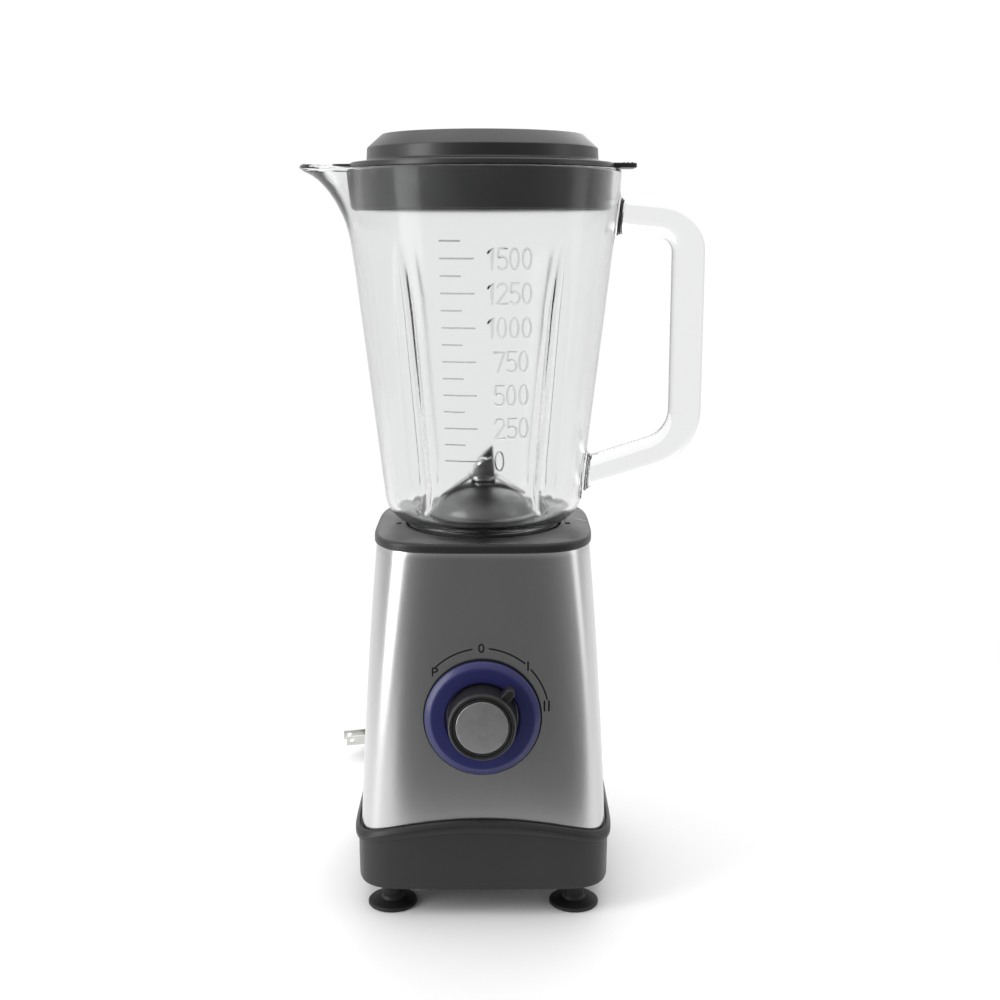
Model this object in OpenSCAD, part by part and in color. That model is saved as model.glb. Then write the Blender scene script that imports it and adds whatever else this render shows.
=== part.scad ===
// Countertop blender: glass jar with lid and blade unit, on a steel motor base.
// The origin is on the floor, on the drive axis. +Z is up, -Y is the front with the dial.

/* [Lid] */
// Height of the top of the lid above the floor
lid_top_z = 421; // [419:0.5:424]
// Radius of the raised dome
lid_dome_r = 62.7; // [60:0.1:64]
// Radius of the flange that rests on the rim
lid_flange_r = 72; // [71:0.5:73]
// Depth of the skirt that plugs the mouth of the jar
lid_skirt_depth = 22; // [18:0.5:26]
// How far the pull tab reaches from the drive axis
lid_tab_reach = 83.3; // [80:0.1:86]

/* [Jar] */
// Height of the rim above the floor
jar_rim_z = 402.8; // [402:0.1:403]
// Outer radius at the rim
jar_rim_r = 75.2; // [74.8:0.1:75.6]
// Thickness of the glass
glass_t = 3.6; // [3:0.1:4]
// Radius of the shoulder between floor and wall
jar_shoulder_r = 16; // [14:0.5:18]
// Reach of the spout's lip from the drive axis
spout_reach = 99.5; // [92:0.5:100]
// Half of the handle's thickness, seen from the front
handle_half_t = 9; // [7:0.1:9.4]
// Half of the handle's width, seen from the side
handle_half_w = 7.6; // [6:0.1:9]

/* [Blades] */
// Thickness of the blade steel
blade_t = 1.5; // [1:0.1:1.8]
// Radius of the blade shaft
blade_shaft_r = 4; // [3.6:0.1:4]
// Upward bend of the upper wings, in degrees
upper_bend = 46; // [35:1:50]
// Downward bend of the lower wings, in degrees
lower_bend = 33; // [25:1:34]

/* [Base] */
// Half width of the steel housing at its top edge
body_top_half = 59; // [58:0.1:60]
// Half width of the steel housing at its bottom edge
body_foot_half = 68.4; // [67.5:0.1:68.6]
// How far the steel's sides bow outwards at half height
side_bow = 1.2; // [0:0.1:2]
// Thickness of the steel
steel_t = 1.2; // [0.8:0.1:1.5]
// Half width of the top plate
plate_half = 60.2; // [60:0.1:62]
// Height of the top plate's upper face
plate_top_z = 208; // [207.6:0.1:208.2]
// Half width of the skirt's raised band
band_half = 71.8; // [71.4:0.1:73]
// Half width of the skirt below the band
skirt_half = 70.2; // [69.2:0.1:70.4]
// Height of the crest of the wavy edge at the middle of the front
wave_crest_z = 57; // [55:0.1:60]
// Height of the wavy edge at the corners
wave_foot_z = 47.6; // [46.5:0.1:48]

/* [Feet] */
// Radius of the round pad
foot_pad_r = 13.7; // [12:0.1:15]
// Distance of each foot from the middle, along X and along Y
foot_place = 50.8; // [49:0.1:51]
// Clearance under the base
foot_h = 16; // [16:0.5:16]

/* [Dial] */
// Height of the dial's middle
dial_z = 114; // [110:0.5:120]
// Outer radius of the dial ring
dial_ring_r = 32; // [30:0.5:34]
// Radius of the knob at its front edge
knob_r = 17.7; // [16:0.1:18]
// Height of the knob's front above the steel
knob_h = 20.5; // [20:0.5:24]
// Angle of the pointer, clockwise from the top, in degrees
pointer_angle = 41; // [0:1:80]

/* [Motor] */
// Radius of the motor shaft
motor_shaft_r = 4; // [3.5:0.1:4]
// Radius of the rotor core
rotor_r = 21.6; // [20:0.1:21.8]
// Radius of the cooling fan
fan_r = 38; // [32:0.5:40]
// Number of lobes on the drive coupling
lobe_count = 6; // [4:1:6]

/* [Cord] */
// Diameter of the mains cord
cord_d = 6; // [5:0.1:7]

/* [Hidden] */
$fn = 96;
slack = 0.2;                 // gap between faces that rest on each other across a joint
through = 1;                 // how far a cutter runs past the face it opens

// Steel housing: it narrows evenly towards its top.
body_foot_z = 46;
body_top_z = 203.2;
body_slope = (body_foot_half - body_top_half) / (body_top_z - body_foot_z);
face_lean = atan(body_slope);
function body_half(z) = body_foot_half - body_slope * (z - body_foot_z);
foot_power = 7;              // corners of the base: squarer at the foot than at the top
top_power = 4;

// Jar: shoulder arc, then a straight cone up to a short upright rim.
flare = 0.117;
flare_angle = atan(flare);
jar_floor_z = 209.5;
shoulder_z = jar_floor_z + jar_shoulder_r;
shoulder_x = 39.3;
cone_foot_r = shoulder_x + jar_shoulder_r * cos(flare_angle);
cone_foot_z = shoulder_z - jar_shoulder_r * sin(flare_angle);
rim_foot_z = 390;
function jar_r(z) = cone_foot_r + (z - cone_foot_z) * flare;
neck_r = 38.5;
neck_bore_r = 33;
neck_foot_z = 192;
well_r = 44;
well_floor_z = 186;
collar_r = 42.6;

// Blade stack, from the foot of the shaft upwards.
shaft_foot_z = 198.6;
holder_top_z = 230.5;
dome_mid_z = 198.42;
dome_r = 33.06;
seal_z = 231.5;
washer_z = 232.8;
lower_blade_z = 233.6;
upper_blade_z = lower_blade_z + blade_t;
nut_z = upper_blade_z + blade_t;

// Motor stack, from the floor upwards.
stack_z = 96;
stack_h = 34;
post_place = 38;
bolt_x = 35.5;
bolt_y = 27.5;
bracket_z = 156;
bracket_t = 4;
lower_bracket_z = 57;

// Dial
dial_y = -body_half(dial_z);
ring_face = 5.5;

// Mains cord: it leaves the rear of the skirt, drops to the floor and is wound into a coil.
cord_r = cord_d / 2;
exit_x = 30;
exit_z = 30;
exit_y = 102;
coil_x = -6;
coil_y = 156;
coil_mid_r = 34;
coil_floor = 0.9;
lead_route = [
    [30, 102, 30], [30, 107, 30], [30, 112, 29.2], [30, 117, 27.5], [30.1, 122, 24.9],
    [30.2, 127, 21.7], [30.4, 132, 18], [30.6, 137, 14.2], [30.8, 142, 10.7], [31, 147, 7.8]
];
tail_route = [
    [-20, 189.8, 9.6], [-26, 189.2, 10.1], [-32, 188.2, 10.8],
    [-38, 186.8, 11.5], [-43, 185.3, 12.2], [-47.7, 184, 12.5]
];
plug_turn = 15;
plug_face = [-84.6, 173.9, 12.5];

function unit(v) = v / norm(v);
function wave_z(x) = wave_crest_z - (wave_crest_z - wave_foot_z) * pow(min(1, abs(x) / 67), 2);
function arc(cx, cy, r, from, to, steps) =
    [for (i = [0 : steps]) let (a = from + (to - from) * i / steps) [cx + r * cos(a), cy + r * sin(a)]];

// Rounded square as a list of points; a higher power gives tighter corners.
function squircle(half, wide, power, count = 64) = [
    for (i = [0 : count - 1])
        let (c = cos(360 * i / count), s = sin(360 * i / count))
            [wide * sign(c) * pow(abs(c), 2 / power), half * sign(s) * pow(abs(s), 2 / power)]
];
function foot_outline(half) = squircle(half, half, foot_power);
// Section of the tapered body at any height, moved outwards by grow.
function body_section(z, grow) =
    let (
        t = (z - body_foot_z) / (body_top_z - body_foot_z),
        bow = 1 + 4 * side_bow * t * (1 - t) / body_foot_half,
        foot = foot_outline(body_foot_half + grow),
        top = squircle(body_top_half + grow, body_top_half + grow, top_power)
    )
    [for (i = [0 : len(foot) - 1])
        let (p = foot[i] * (1 - t) + top[i] * t)
            [p[0] * bow, p[1]]];
function raised(outline, z) = [for (p = outline) [p[0], p[1], z]];

// Turns a polyline in a plane into one with rounded corners.
function rounded_corner(a, b, c, r, steps) =
    let (
        u = unit(b - a),
        v = unit(c - b),
        turn = atan2(u[0] * v[1] - u[1] * v[0], u * v),
        start = b - u * r * tan(abs(turn) / 2),
        side = sign(turn),
        mid = start + side * r * [-u[1], u[0]],
        first = atan2(u[1], u[0]) - 90 * side
    )
    [for (i = [0 : steps]) let (t = first + turn * i / steps) mid + r * [cos(t), sin(t)]];

// Closed skin over rings of points, with flat ends.
module loft(rings) {
    count = len(rings[0]);
    last = len(rings) - 1;
    polyhedron(
        points = [for (ring = rings) for (p = ring) p],
        faces = concat(
            [[for (i = [0 : count - 1]) i]],
            [for (r = [0 : last - 1]) for (i = [0 : count - 1])
                [r * count + i, (r + 1) * count + i, (r + 1) * count + (i + 1) % count]],
            [for (r = [0 : last - 1]) for (i = [0 : count - 1])
                [r * count + i, (r + 1) * count + (i + 1) % count, r * count + (i + 1) % count]],
            [[for (i = [count - 1 : -1 : 0]) last * count + i]]
        )
    );
}

// Tube of oval section along a route; ref is a direction that the route never follows.
module sweep(route, half_a, half_b, sides, ref) {
    last = len(route) - 1;
    loft([
        for (i = [0 : last])
            let (
                t = unit(route[min(i + 1, last)] - route[max(i - 1, 0)]),
                u = unit(cross(t, ref)),
                w = cross(t, u)
            )
            [for (k = [0 : sides - 1])
                route[i] + half_a * cos(360 * k / sides) * u + half_b * sin(360 * k / sides) * w]
    ]);
}

module ring(outer, inner, z, h) {
    translate([0, 0, z])
        difference() {
            cylinder(r = outer, h = h);
            translate([0, 0, -through])
                cylinder(r = inner, h = h + 2 * through);
        }
}

module body_block(z0, z1, grow) {
    steps = 6;
    loft([for (i = [0 : steps])
        let (z = z0 + (z1 - z0) * i / steps)
            raised(body_section(z, grow), z)]);
}

module prism(outline, z, h) {
    translate([0, 0, z])
        linear_extrude(h)
            polygon(outline);
}

// Outline with the corners of the top plate, as deep as it is wide.
function plate_outline(half) = squircle(half, half, top_power);

module four(x, y) {
    for (sx = [-1, 1], sy = [-1, 1])
        translate([sx * x, sy * y, 0])
            children();
}

module on_dial() {
    translate([0, dial_y, dial_z])
        rotate([90 - face_lean, 0, 0])
            children();
}

// ---- Lid -------------------------------------------------------------------------------------

flange_z = jar_rim_z + slack;
skirt_r = 67.8;
skirt_foot_z = flange_z - lid_skirt_depth;
filler_r = 25.2;
cap_seat_z = lid_top_z - 2.6;

module lid() {
    color("dimgray") {
        rotate_extrude()
            polygon([
                [filler_r, lid_top_z - 16], [filler_r, cap_seat_z], [30.2, cap_seat_z],
                [30.2, lid_top_z], [lid_dome_r - 8.5, lid_top_z],
                [lid_dome_r - 6.5, lid_top_z - 0.8], [lid_dome_r - 0.4, lid_top_z - 6.6],
                [lid_dome_r, lid_top_z - 7.6], [lid_dome_r, flange_z + 4.6],
                [lid_dome_r + 1.4, flange_z + 3.2], [lid_flange_r - 1, flange_z + 3],
                [lid_flange_r, flange_z + 2], [lid_flange_r, flange_z],
                [skirt_r, flange_z], [skirt_r, skirt_foot_z], [65.2, skirt_foot_z],
                [60.4, flange_z], [60.4, lid_top_z - 8.6], [54, lid_top_z - 3],
                [32, lid_top_z - 3], [32, cap_seat_z - 2.4], [27.4, cap_seat_z - 2.4],
                [27.4, lid_top_z - 16]
            ]);
        lid_tab(lid_tab_reach, 14, flange_z + 0.4, 2.6);
        mirror([1, 0, 0])
            lid_tab(81, 11, flange_z + 0.2, 2.2);
    }
}

module lid_tab(reach, half_width, z, t) {
    translate([0, 0, z])
        intersection() {
            difference() {
                cylinder(r = reach, h = t);
                translate([0, 0, -through])
                    cylinder(r = lid_flange_r - 3, h = t + 2 * through);
            }
            translate([60, -half_width, -through])
                cube([60, 2 * half_width, t + 2 * through]);
        }
}

module lid_seal() {
    color("dimgray")
        rotate_extrude()
            polygon([
                [skirt_r, skirt_foot_z + 0.6], [69.4, skirt_foot_z + 1], [70.5, flange_z - 0.8],
                [70.2, flange_z - 0.3], [skirt_r, flange_z - 0.3]
            ]);
}

module filler_cap() {
    color("dimgray")
        difference() {
            union() {
                translate([0, 0, cap_seat_z + slack])
                    cylinder(r = 29.8, h = lid_top_z - cap_seat_z - slack);
                ring(24.8, 22.6, lid_top_z - 15, 15 - 2.6 + slack + 0.5);
            }
            for (side = [-1, 1])
                intersection() {
                    translate([0, 0, lid_top_z - 1.4])
                        cylinder(r = 22, h = 3);
                    translate([-25, side > 0 ? 4 : -29, lid_top_z - 2])
                        cube([50, 25, 4]);
                }
        }
}

// ---- Jar -------------------------------------------------------------------------------------

module jar_outside() {
    rotate_extrude($fn = 128)
        polygon(concat(
            [[0, neck_foot_z], [neck_r, neck_foot_z], [neck_r, jar_floor_z]],
            arc(shoulder_x, shoulder_z, jar_shoulder_r, -90, -flare_angle, 10),
            [[jar_r(rim_foot_z), rim_foot_z], [jar_rim_r, jar_rim_z - 2]],
            arc(jar_rim_r - 1.8, jar_rim_z - 1.8, 1.8, 0, 90, 4),
            [[0, jar_rim_z]]
        ));
}

module jar_inside(grow = 0) {
    r = jar_shoulder_r - glass_t;
    rotate_extrude($fn = 128)
        polygon(concat(
            [[0, jar_floor_z + glass_t]],
            arc(shoulder_x, shoulder_z, r + grow, -90, -flare_angle, 10),
            [[jar_r(rim_foot_z) - glass_t + grow, rim_foot_z],
             [jar_rim_r - glass_t + grow, jar_rim_z + through], [0, jar_rim_z + through]]
        ));
}

// Spout as a wedge with a flared lip; grow thickens it all round.
module spout_form(grow) {
    $fn = 20;
    hull() {
        translate([-66.5, 0, 362]) sphere(r = 4 + grow);
        translate([-72.6, 0, 391]) sphere(r = 7 + grow);
        for (side = [-1, 1])
            translate([-66, side * 11, 391]) sphere(r = 4 + grow);
    }
    hull() {
        translate([-72.6, 0, 391]) sphere(r = 7 + grow);
        translate([4 - spout_reach + 4, 0, 404]) sphere(r = 4 + grow * 0.7);
        for (side = [-1, 1]) {
            translate([-66, side * 11, 391]) sphere(r = 4 + grow);
            translate([-66, side * 20, 405]) sphere(r = 4 + grow);
        }
    }
}

handle_x = 112.7;
handle_route = concat(
    [[66, 378.8], [78, 377.6], [90, 376.4]],
    rounded_corner([90, 376.4], [handle_x, 374.2], [handle_x, 253.2], 17, 8),
    [[handle_x, 315]],
    rounded_corner([handle_x, 315], [handle_x, 253.2], [56, 235.5], 26, 8),
    [[74, 241.1], [56, 235.5]]
);

module jar_handle() {
    sweep([for (p = handle_route) [p[0], 0, p[1]]], handle_half_t, handle_half_w, 16, [0, 1, 0]);
}

// Four flutes, two each side of the front and two each side of the rear.
flute_angles = [52.5, 127.5, 232.5, 307.5];

// Pressed flute: a groove outside and a rib inside the glass.
module flute(r, sink) {
    foot_z = 226;
    head_z = 366;
    lean = flare_angle;
    length = (head_z - foot_z) / cos(lean);
    translate([jar_r(foot_z) + sink, 0, foot_z])
        rotate([0, lean, 0]) {
            cylinder(r = r, h = length);
            sphere(r = r);
            translate([0, 0, length])
                sphere(r = r);
        }
}

module glass_jar() {
    color("lightcyan", 0.35)
        difference() {
            union() {
                jar_outside();
                spout_form(3);
                jar_handle();
            }
            difference() {
                jar_inside();
                for (a = flute_angles)
                    rotate([0, 0, a])
                        flute(9, 0.6);
            }
            spout_form(0);
            translate([0, 0, neck_foot_z - through])
                cylinder(r = neck_bore_r, h = jar_floor_z - neck_foot_z + 5);
            for (a = flute_angles)
                rotate([0, 0, a])
                    flute(5.6, 0.9);
            translate([-110, -40, jar_rim_z])
                cube([80, 80, 20]);
        }
}

module jar_collar() {
    foot = well_floor_z + slack;
    color("#2a2a2a")
        difference() {
            rotate_extrude()
                polygon([
                    [34, foot], [collar_r - 1, foot], [collar_r, foot + 1],
                    [collar_r, jar_floor_z - 1.4], [collar_r - 1, jar_floor_z - 0.4],
                    [neck_r + 0.3, jar_floor_z - 0.4], [neck_r + 0.3, foot + 1.8],
                    [34, foot + 1.8]
                ]);
            for (a = [0 : 15 : 345])
                rotate([0, 0, a])
                    translate([collar_r + 0.4, 0, foot - through])
                        cylinder(r = 1.2, h = 12, $fn = 24);
        }
}

module jar_gasket() {
    color("gainsboro")
        ring(neck_r - 0.2, neck_bore_r + 0.2, neck_foot_z - 1.8, 1.8);
}

module blade_holder() {
    flange = well_floor_z + slack + 1.8;
    wall = 2.2;
    color("silver")
        rotate_extrude()
            polygon(concat(
                [[38.2, flange], [38.2, neck_foot_z - 1.8], [32.6, neck_foot_z - 1.8],
                 [32.6, 212.8], [28.6, 214.6]],
                arc(0, dome_mid_z, dome_r, 30, 77, 12),
                [[7, holder_top_z], [7, 202.5], [9.2, 202.5], [9.2, holder_top_z - 4]],
                arc(0, dome_mid_z, dome_r - wall, 70, 34, 8),
                [[30.2, 211], [30.2, flange]]
            ));
}

module blade_bush() {
    color("goldenrod")
        ring(7, blade_shaft_r + 0.04, 202.5, 28.5);
}

module shaft_seal() {
    color("#303030")
        ring(6.8, blade_shaft_r + 0.05, 231, seal_z - 231 + 0.8);
}

module blade_shaft() {
    color("silver")
        translate([0, 0, shaft_foot_z])
            cylinder(r = blade_shaft_r, h = nut_z + 4 - shaft_foot_z);
}

module shaft_clip() {
    color("gray")
        difference() {
            ring(7.4, blade_shaft_r, 201.2, 0.9);
            translate([0, -2.6, 200])
                cube([10, 5.2, 4]);
        }
}

module blade_washer() {
    color("silver")
        ring(6.8, blade_shaft_r, washer_z, lower_blade_z - washer_z);
}

// One wing: root at the hub, one straight cutting edge, the back edge curving to a point.
module wing(length, half_w, bend) {
    translate([7, 0, 0])
        rotate([0, -bend, 0])
            linear_extrude(blade_t)
                polygon([
                    [0, -half_w], [length * 0.42, -half_w * 0.7], [length * 0.68, -half_w * 0.22],
                    [length * 0.86, half_w * 0.18], [length, half_w * 0.7],
                    [length, half_w * 0.8], [0, half_w]
                ]);
}

module hub_hole(z) {
    translate([0, 0, z - through])
        cylinder(r = blade_shaft_r, h = blade_t + 2 * through);
}

// The two wings point down over the dome, one each way along X.
module lower_blade() {
    color("silver")
        difference() {
            translate([0, 0, lower_blade_z]) {
                cylinder(r = 8.4, h = blade_t);
                for (a = [0, 180])
                    rotate([0, 0, a])
                        wing(20, 6.2, -lower_bend);
            }
            hub_hole(lower_blade_z);
        }
}

// The two wings stand up, one to the front and one to the rear, with both points on the +X side.
module upper_blade() {
    color("silver")
        difference() {
            translate([0, 0, upper_blade_z]) {
                cylinder(r = 8.4, h = blade_t);
                rotate([0, 0, -90])
                    wing(17.8, 6.5, upper_bend);
                mirror([0, 1, 0])
                    rotate([0, 0, -90])
                        wing(17.8, 6.5, upper_bend);
            }
            hub_hole(upper_blade_z);
        }
}

module blade_nut() {
    color("silver")
        difference() {
            translate([0, 0, nut_z]) {
                cylinder(r = 6, h = 3.4, $fn = 6);
                translate([0, 0, 3.4])
                    intersection() {
                        sphere(r = 5);
                        cylinder(r = 6, h = 6);
                    }
            }
            translate([0, 0, nut_z - through])
                cylinder(r = blade_shaft_r, h = 4 + through);
        }
}

// Female half of the drive: a cup with ribs between which the coupling's lobes stand.
module jar_drive_socket() {
    color("#383838")
        difference() {
            union() {
                ring(16.5, 12.7, 189.6, 9.4);
                translate([0, 0, 199])
                    cylinder(r = 16.5, h = 2);
                for (i = [0 : lobe_count - 1])
                    rotate([0, 0, 360 * i / lobe_count])
                        translate([9.6, -1.6, 189.6])
                            cube([4, 3.2, 9.6]);
            }
            translate([0, 0, 180])
                cylinder(r = blade_shaft_r, h = 30);
        }
}

// ---- Base shells -----------------------------------------------------------------------------

module top_plate() {
    plate_foot = body_top_z + 0.1;
    color("#333333")
        difference() {
            union() {
                prism(plate_outline(plate_half), plate_foot, plate_top_z - plate_foot);
                prism(plate_outline(body_top_half - steel_t - 0.8), plate_foot - 4, 5);
                translate([0, 0, well_floor_z - 2.4])
                    cylinder(r = well_r + 2, h = plate_top_z - well_floor_z);
                four(post_place, post_place)
                    translate([0, 0, bracket_z + bracket_t + 6])
                        cylinder(r = 5, h = 40);
            }
            translate([0, 0, well_floor_z])
                cylinder(r = well_r, h = 40);
            translate([0, 0, well_floor_z - 10])
                cylinder(r = 11, h = 20);
            difference() {
                prism(plate_outline(body_top_half - steel_t - 3), plate_foot - 4 - through, 4 + through);
                cylinder(r = well_r + 2, h = 300);
                four(post_place, post_place)
                    cylinder(r = 5, h = 300);
            }
            four(post_place, post_place)
                cylinder(r = 1.8, h = bracket_z + 26);
        }
}

module steel_housing() {
    color("silver")
        difference() {
            body_block(body_foot_z, body_top_z, 0);
            body_block(body_foot_z - 20, body_top_z + 20, -steel_t);
            on_dial()
                translate([0, 0, -10])
                    cylinder(r = 5.2, h = 20);
        }
}

// Solid under the wavy edge, shifted down by drop in the middle and a fifth less at the corners.
module wave_solid(drop) {
    reach = 90;
    steps = 36;
    translate([0, reach, 0])
        rotate([90, 0, 0])
            linear_extrude(2 * reach)
                polygon(concat(
                    [[reach, 0], [reach, wave_foot_z - 0.8 * drop]],
                    [for (i = [0 : steps])
                        let (x = 66 - 132 * i / steps)
                            [x, wave_z(x) - drop * (1 - 0.2 * pow(x / 67, 2))]],
                    [[-reach, wave_foot_z - 0.8 * drop], [-reach, 0]]
                ));
}

module base_skirt() {
    wall = 2.8;
    band_h = 6.8;
    color("#2d2d2d")
        difference() {
            union() {
                intersection() {
                    loft([raised(foot_outline(skirt_half - 0.3), foot_h),
                          raised(foot_outline(skirt_half), wave_foot_z),
                          raised(foot_outline(skirt_half - 0.2), wave_crest_z + 2)]);
                    wave_solid(0.4);
                }
                intersection() {
                    prism(foot_outline(band_half), wave_foot_z - band_h - 1,
                          wave_crest_z - wave_foot_z + band_h + 2);
                    difference() {
                        wave_solid(0);
                        wave_solid(band_h);
                    }
                }
            }
            prism(foot_outline(skirt_half - 0.9 - wall), foot_h - through,
                  body_foot_z - foot_h - 2);
            prism(foot_outline(body_foot_half - steel_t - 1.4), foot_h, 90);
            body_block(body_foot_z - 0.1, wave_crest_z + 12, 1);
            translate([exit_x, 60, exit_z])
                rotate([-90, 0, 0])
                    cylinder(r = 6.5, h = 20);
        }
}

module bottom_cover() {
    color("#242424")
        difference() {
            prism(foot_outline(skirt_half - 4.2), foot_h, 2.6);
            for (i = [-4 : 4])
                translate([i * 6.4 - 1.5, -26, foot_h - through])
                    cube([3, 52, 5]);
            four(foot_place, foot_place)
                cylinder(r = 3.6, h = 40);
            four(46, 30)
                translate([0, 0, foot_h - through]) {
                    cylinder(r = 1.9, h = 10);
                    cylinder(r = 3.6, h = 1.6 + through);
                }
        }
}

module feet() {
    color("#1c1c1c")
        four(foot_place, foot_place)
            rotate_extrude()
                polygon([
                    [0, 0.8], [6, 0.6], [8, 0], [foot_pad_r - 0.4, 0], [foot_pad_r, 0.4],
                    [foot_pad_r, 1.4], [foot_pad_r - 0.6, 2], [6.4, 3.4], [5.6, 5],
                    [6.4, foot_h - 3], [6.6, foot_h], [3.5, foot_h], [3.5, foot_h + 4.4],
                    [4.6, foot_h + 4.6], [3, foot_h + 7.6], [0, foot_h + 7.6]
                ]);
}

module screw(r, head_r, head_h, length) {
    cylinder(r = head_r, h = head_h);
    cylinder(r = r, h = length);
}

module cover_screws() {
    color("darkgray")
        four(46, 30)
            translate([0, 0, foot_h + 0.2])
                difference() {
                    screw(1.8, 3.4, 1.4, 14);
                    translate([-2.4, -0.4, -0.4])
                        cube([4.8, 0.8, 1]);
                    translate([-0.4, -2.4, -0.4])
                        cube([0.8, 4.8, 1]);
                }
}

// ---- Motor -----------------------------------------------------------------------------------

module drive_coupling() {
    color("#3a3a3a")
        difference() {
            union() {
                translate([0, 0, 188])
                    cylinder(r = 9, h = 10);
                for (i = [0 : lobe_count - 1])
                    rotate([0, 0, 360 * (i + 0.5) / lobe_count])
                        translate([0, -2.2, 189])
                            cube([12.3, 4.4, 9]);
                translate([0, 0, 182])
                    cylinder(r = 7.5, h = 7);
            }
            translate([0, 0, 180])
                cylinder(r = motor_shaft_r, h = 10.5);
        }
}

module motor_shaft() {
    color("silver")
        translate([0, 0, 36])
            cylinder(r = motor_shaft_r, h = 190.5 - 36);
}

module rotor_core() {
    color("gray")
        difference() {
            ring(rotor_r, motor_shaft_r, stack_z, stack_h);
            for (i = [0 : 11])
                rotate([0, 0, 30 * i])
                    translate([rotor_r - 3.4, 0, stack_z - through]) {
                        cylinder(r = 2.2, h = stack_h + 2 * through, $fn = 24);
                        translate([0, -0.7, 0])
                            cube([6, 1.4, stack_h + 2 * through]);
                    }
        }
}

module rotor_windings() {
    color("chocolate")
        for (z = [stack_z, stack_z + stack_h])
            rotate_extrude()
                polygon(z == stack_z
                    ? [[5, z], [18, z], [18.6, z - 5], [15, z - 9], [8, z - 9], [5, z - 6]]
                    : [[5, z], [18, z], [18.6, z + 5], [15, z + 9], [8, z + 9], [5, z + 6]]);
}

module commutator() {
    color("peru")
        difference() {
            ring(11, motor_shaft_r, 69, 15);
            for (i = [0 : 11])
                rotate([0, 0, 15 + 30 * i])
                    translate([9.6, -0.3, 68])
                        cube([3, 0.6, 14]);
        }
}

module cooling_fan() {
    color("whitesmoke")
        difference() {
            union() {
                translate([0, 0, 50])
                    cylinder(r = fan_r, h = 1.6);
                translate([0, 0, 38])
                    cylinder(r = 8, h = 13);
                for (i = [0 : 8])
                    rotate([0, 0, 40 * i])
                        translate([7, -0.8, 39.5])
                            cube([fan_r - 7.4, 1.6, 11.5]);
            }
            translate([0, 0, 30])
                cylinder(r = motor_shaft_r, h = 30);
        }
}

module stator_core() {
    color("slategray")
        difference() {
            translate([-40, -32, stack_z])
                cube([80, 64, stack_h]);
            translate([0, 0, stack_z - through])
                cylinder(r = rotor_r + 0.7, h = stack_h + 2 * through);
            for (sx = [-1, 1], sy = [-1, 1])
                translate([sx * 27 - 4.4, sy * 20.4 - 4.4, stack_z - through])
                    cube([8.8, 8.8, stack_h + 2 * through]);
            four(bolt_x, bolt_y)
                cylinder(r = 2.1, h = 200);
        }
}

module field_coils() {
    color("chocolate")
        for (side = [-1, 1])
            translate([side * 27 - 4.1, 0, stack_z + stack_h / 2])
                difference() {
                    translate([0, -24.4, -25.4])
                        cube([8.2, 48.8, 50.8]);
                    translate([-through, -16.3, -stack_h / 2 - 0.3])
                        cube([12, 32.6, stack_h + 0.6]);
                }
}

// Rectangular opening through a bracket's plate, mirrored to both sides of both axes.
module windows(x0, x1, y0, y1, z) {
    for (sx = [-1, 1], sy = [-1, 1])
        translate([sx > 0 ? x0 : -x1, sy > 0 ? y0 : -y1, z - through])
            cube([x1 - x0, y1 - y0, bracket_t + 2 * through]);
}

module upper_bracket() {
    bottom = stack_z + stack_h;
    half = post_place + 6;
    color("lightslategray")
        difference() {
            union() {
                translate([-half, -half, bracket_z])
                    cube([2 * half, 2 * half, bracket_t]);
                translate([0, 0, bracket_z - 4])
                    cylinder(r = 14, h = 13);
                four(bolt_x, bolt_y)
                    translate([0, 0, bottom])
                        cylinder(r = 3.6, h = bracket_z - bottom + 1);
            }
            windows(18, 30, 3, 18, bracket_z);
            windows(3, 26, 22, 38, bracket_z);
            translate([0, 0, 140])
                cylinder(r = 9, h = 40);
            four(bolt_x, bolt_y)
                cylinder(r = 2.1, h = 300);
            four(post_place, post_place)
                cylinder(r = 2.1, h = 300);
        }
}

module lower_bracket() {
    half_x = bolt_x + 5;
    half_y = 34;
    color("lightslategray")
        difference() {
            union() {
                translate([-half_x, -half_y, lower_bracket_z])
                    cube([2 * half_x, 2 * half_y, bracket_t]);
                translate([0, 0, lower_bracket_z - 3])
                    cylinder(r = 14, h = 10);
                four(bolt_x, bolt_y)
                    translate([0, 0, lower_bracket_z + 1])
                        cylinder(r = 3.6, h = stack_z - lower_bracket_z - 1);
            }
            windows(18, 30, 3, 16, lower_bracket_z);
            windows(10, 28, 20, 30, lower_bracket_z);
            translate([0, 0, 40])
                cylinder(r = 9, h = 40);
            four(bolt_x, bolt_y)
                cylinder(r = 2.1, h = 300);
        }
}

module upper_bearing() {
    color("goldenrod")
        ring(9, motor_shaft_r + 0.05, bracket_z - 3.4, 11.8);
}

module lower_bearing() {
    color("goldenrod")
        ring(9, motor_shaft_r + 0.05, lower_bracket_z - 2.4, 9);
}

module through_bolts() {
    head = lower_bracket_z - 3;
    color("darkgray")
        four(bolt_x, bolt_y)
            translate([0, 0, head])
                screw(2, 3.8, 3, bracket_z + bracket_t + 4 - head);
}

module brush_holders() {
    color("gold")
        for (side = [0, 180])
            rotate([0, 0, side])
                difference() {
                    union() {
                        translate([-5.6, 14, 70])
                            cube([11.2, 18, 13]);
                        translate([-5.6, 16, lower_bracket_z + bracket_t])
                            cube([11.2, 3, 70.5 - lower_bracket_z - bracket_t]);
                        translate([-5.6, 27, lower_bracket_z + bracket_t])
                            cube([11.2, 3, 70.5 - lower_bracket_z - bracket_t]);
                    }
                    translate([-4.1, 10, 71.4])
                        cube([8.2, 20.4, 10.2]);
                }
}

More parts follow.
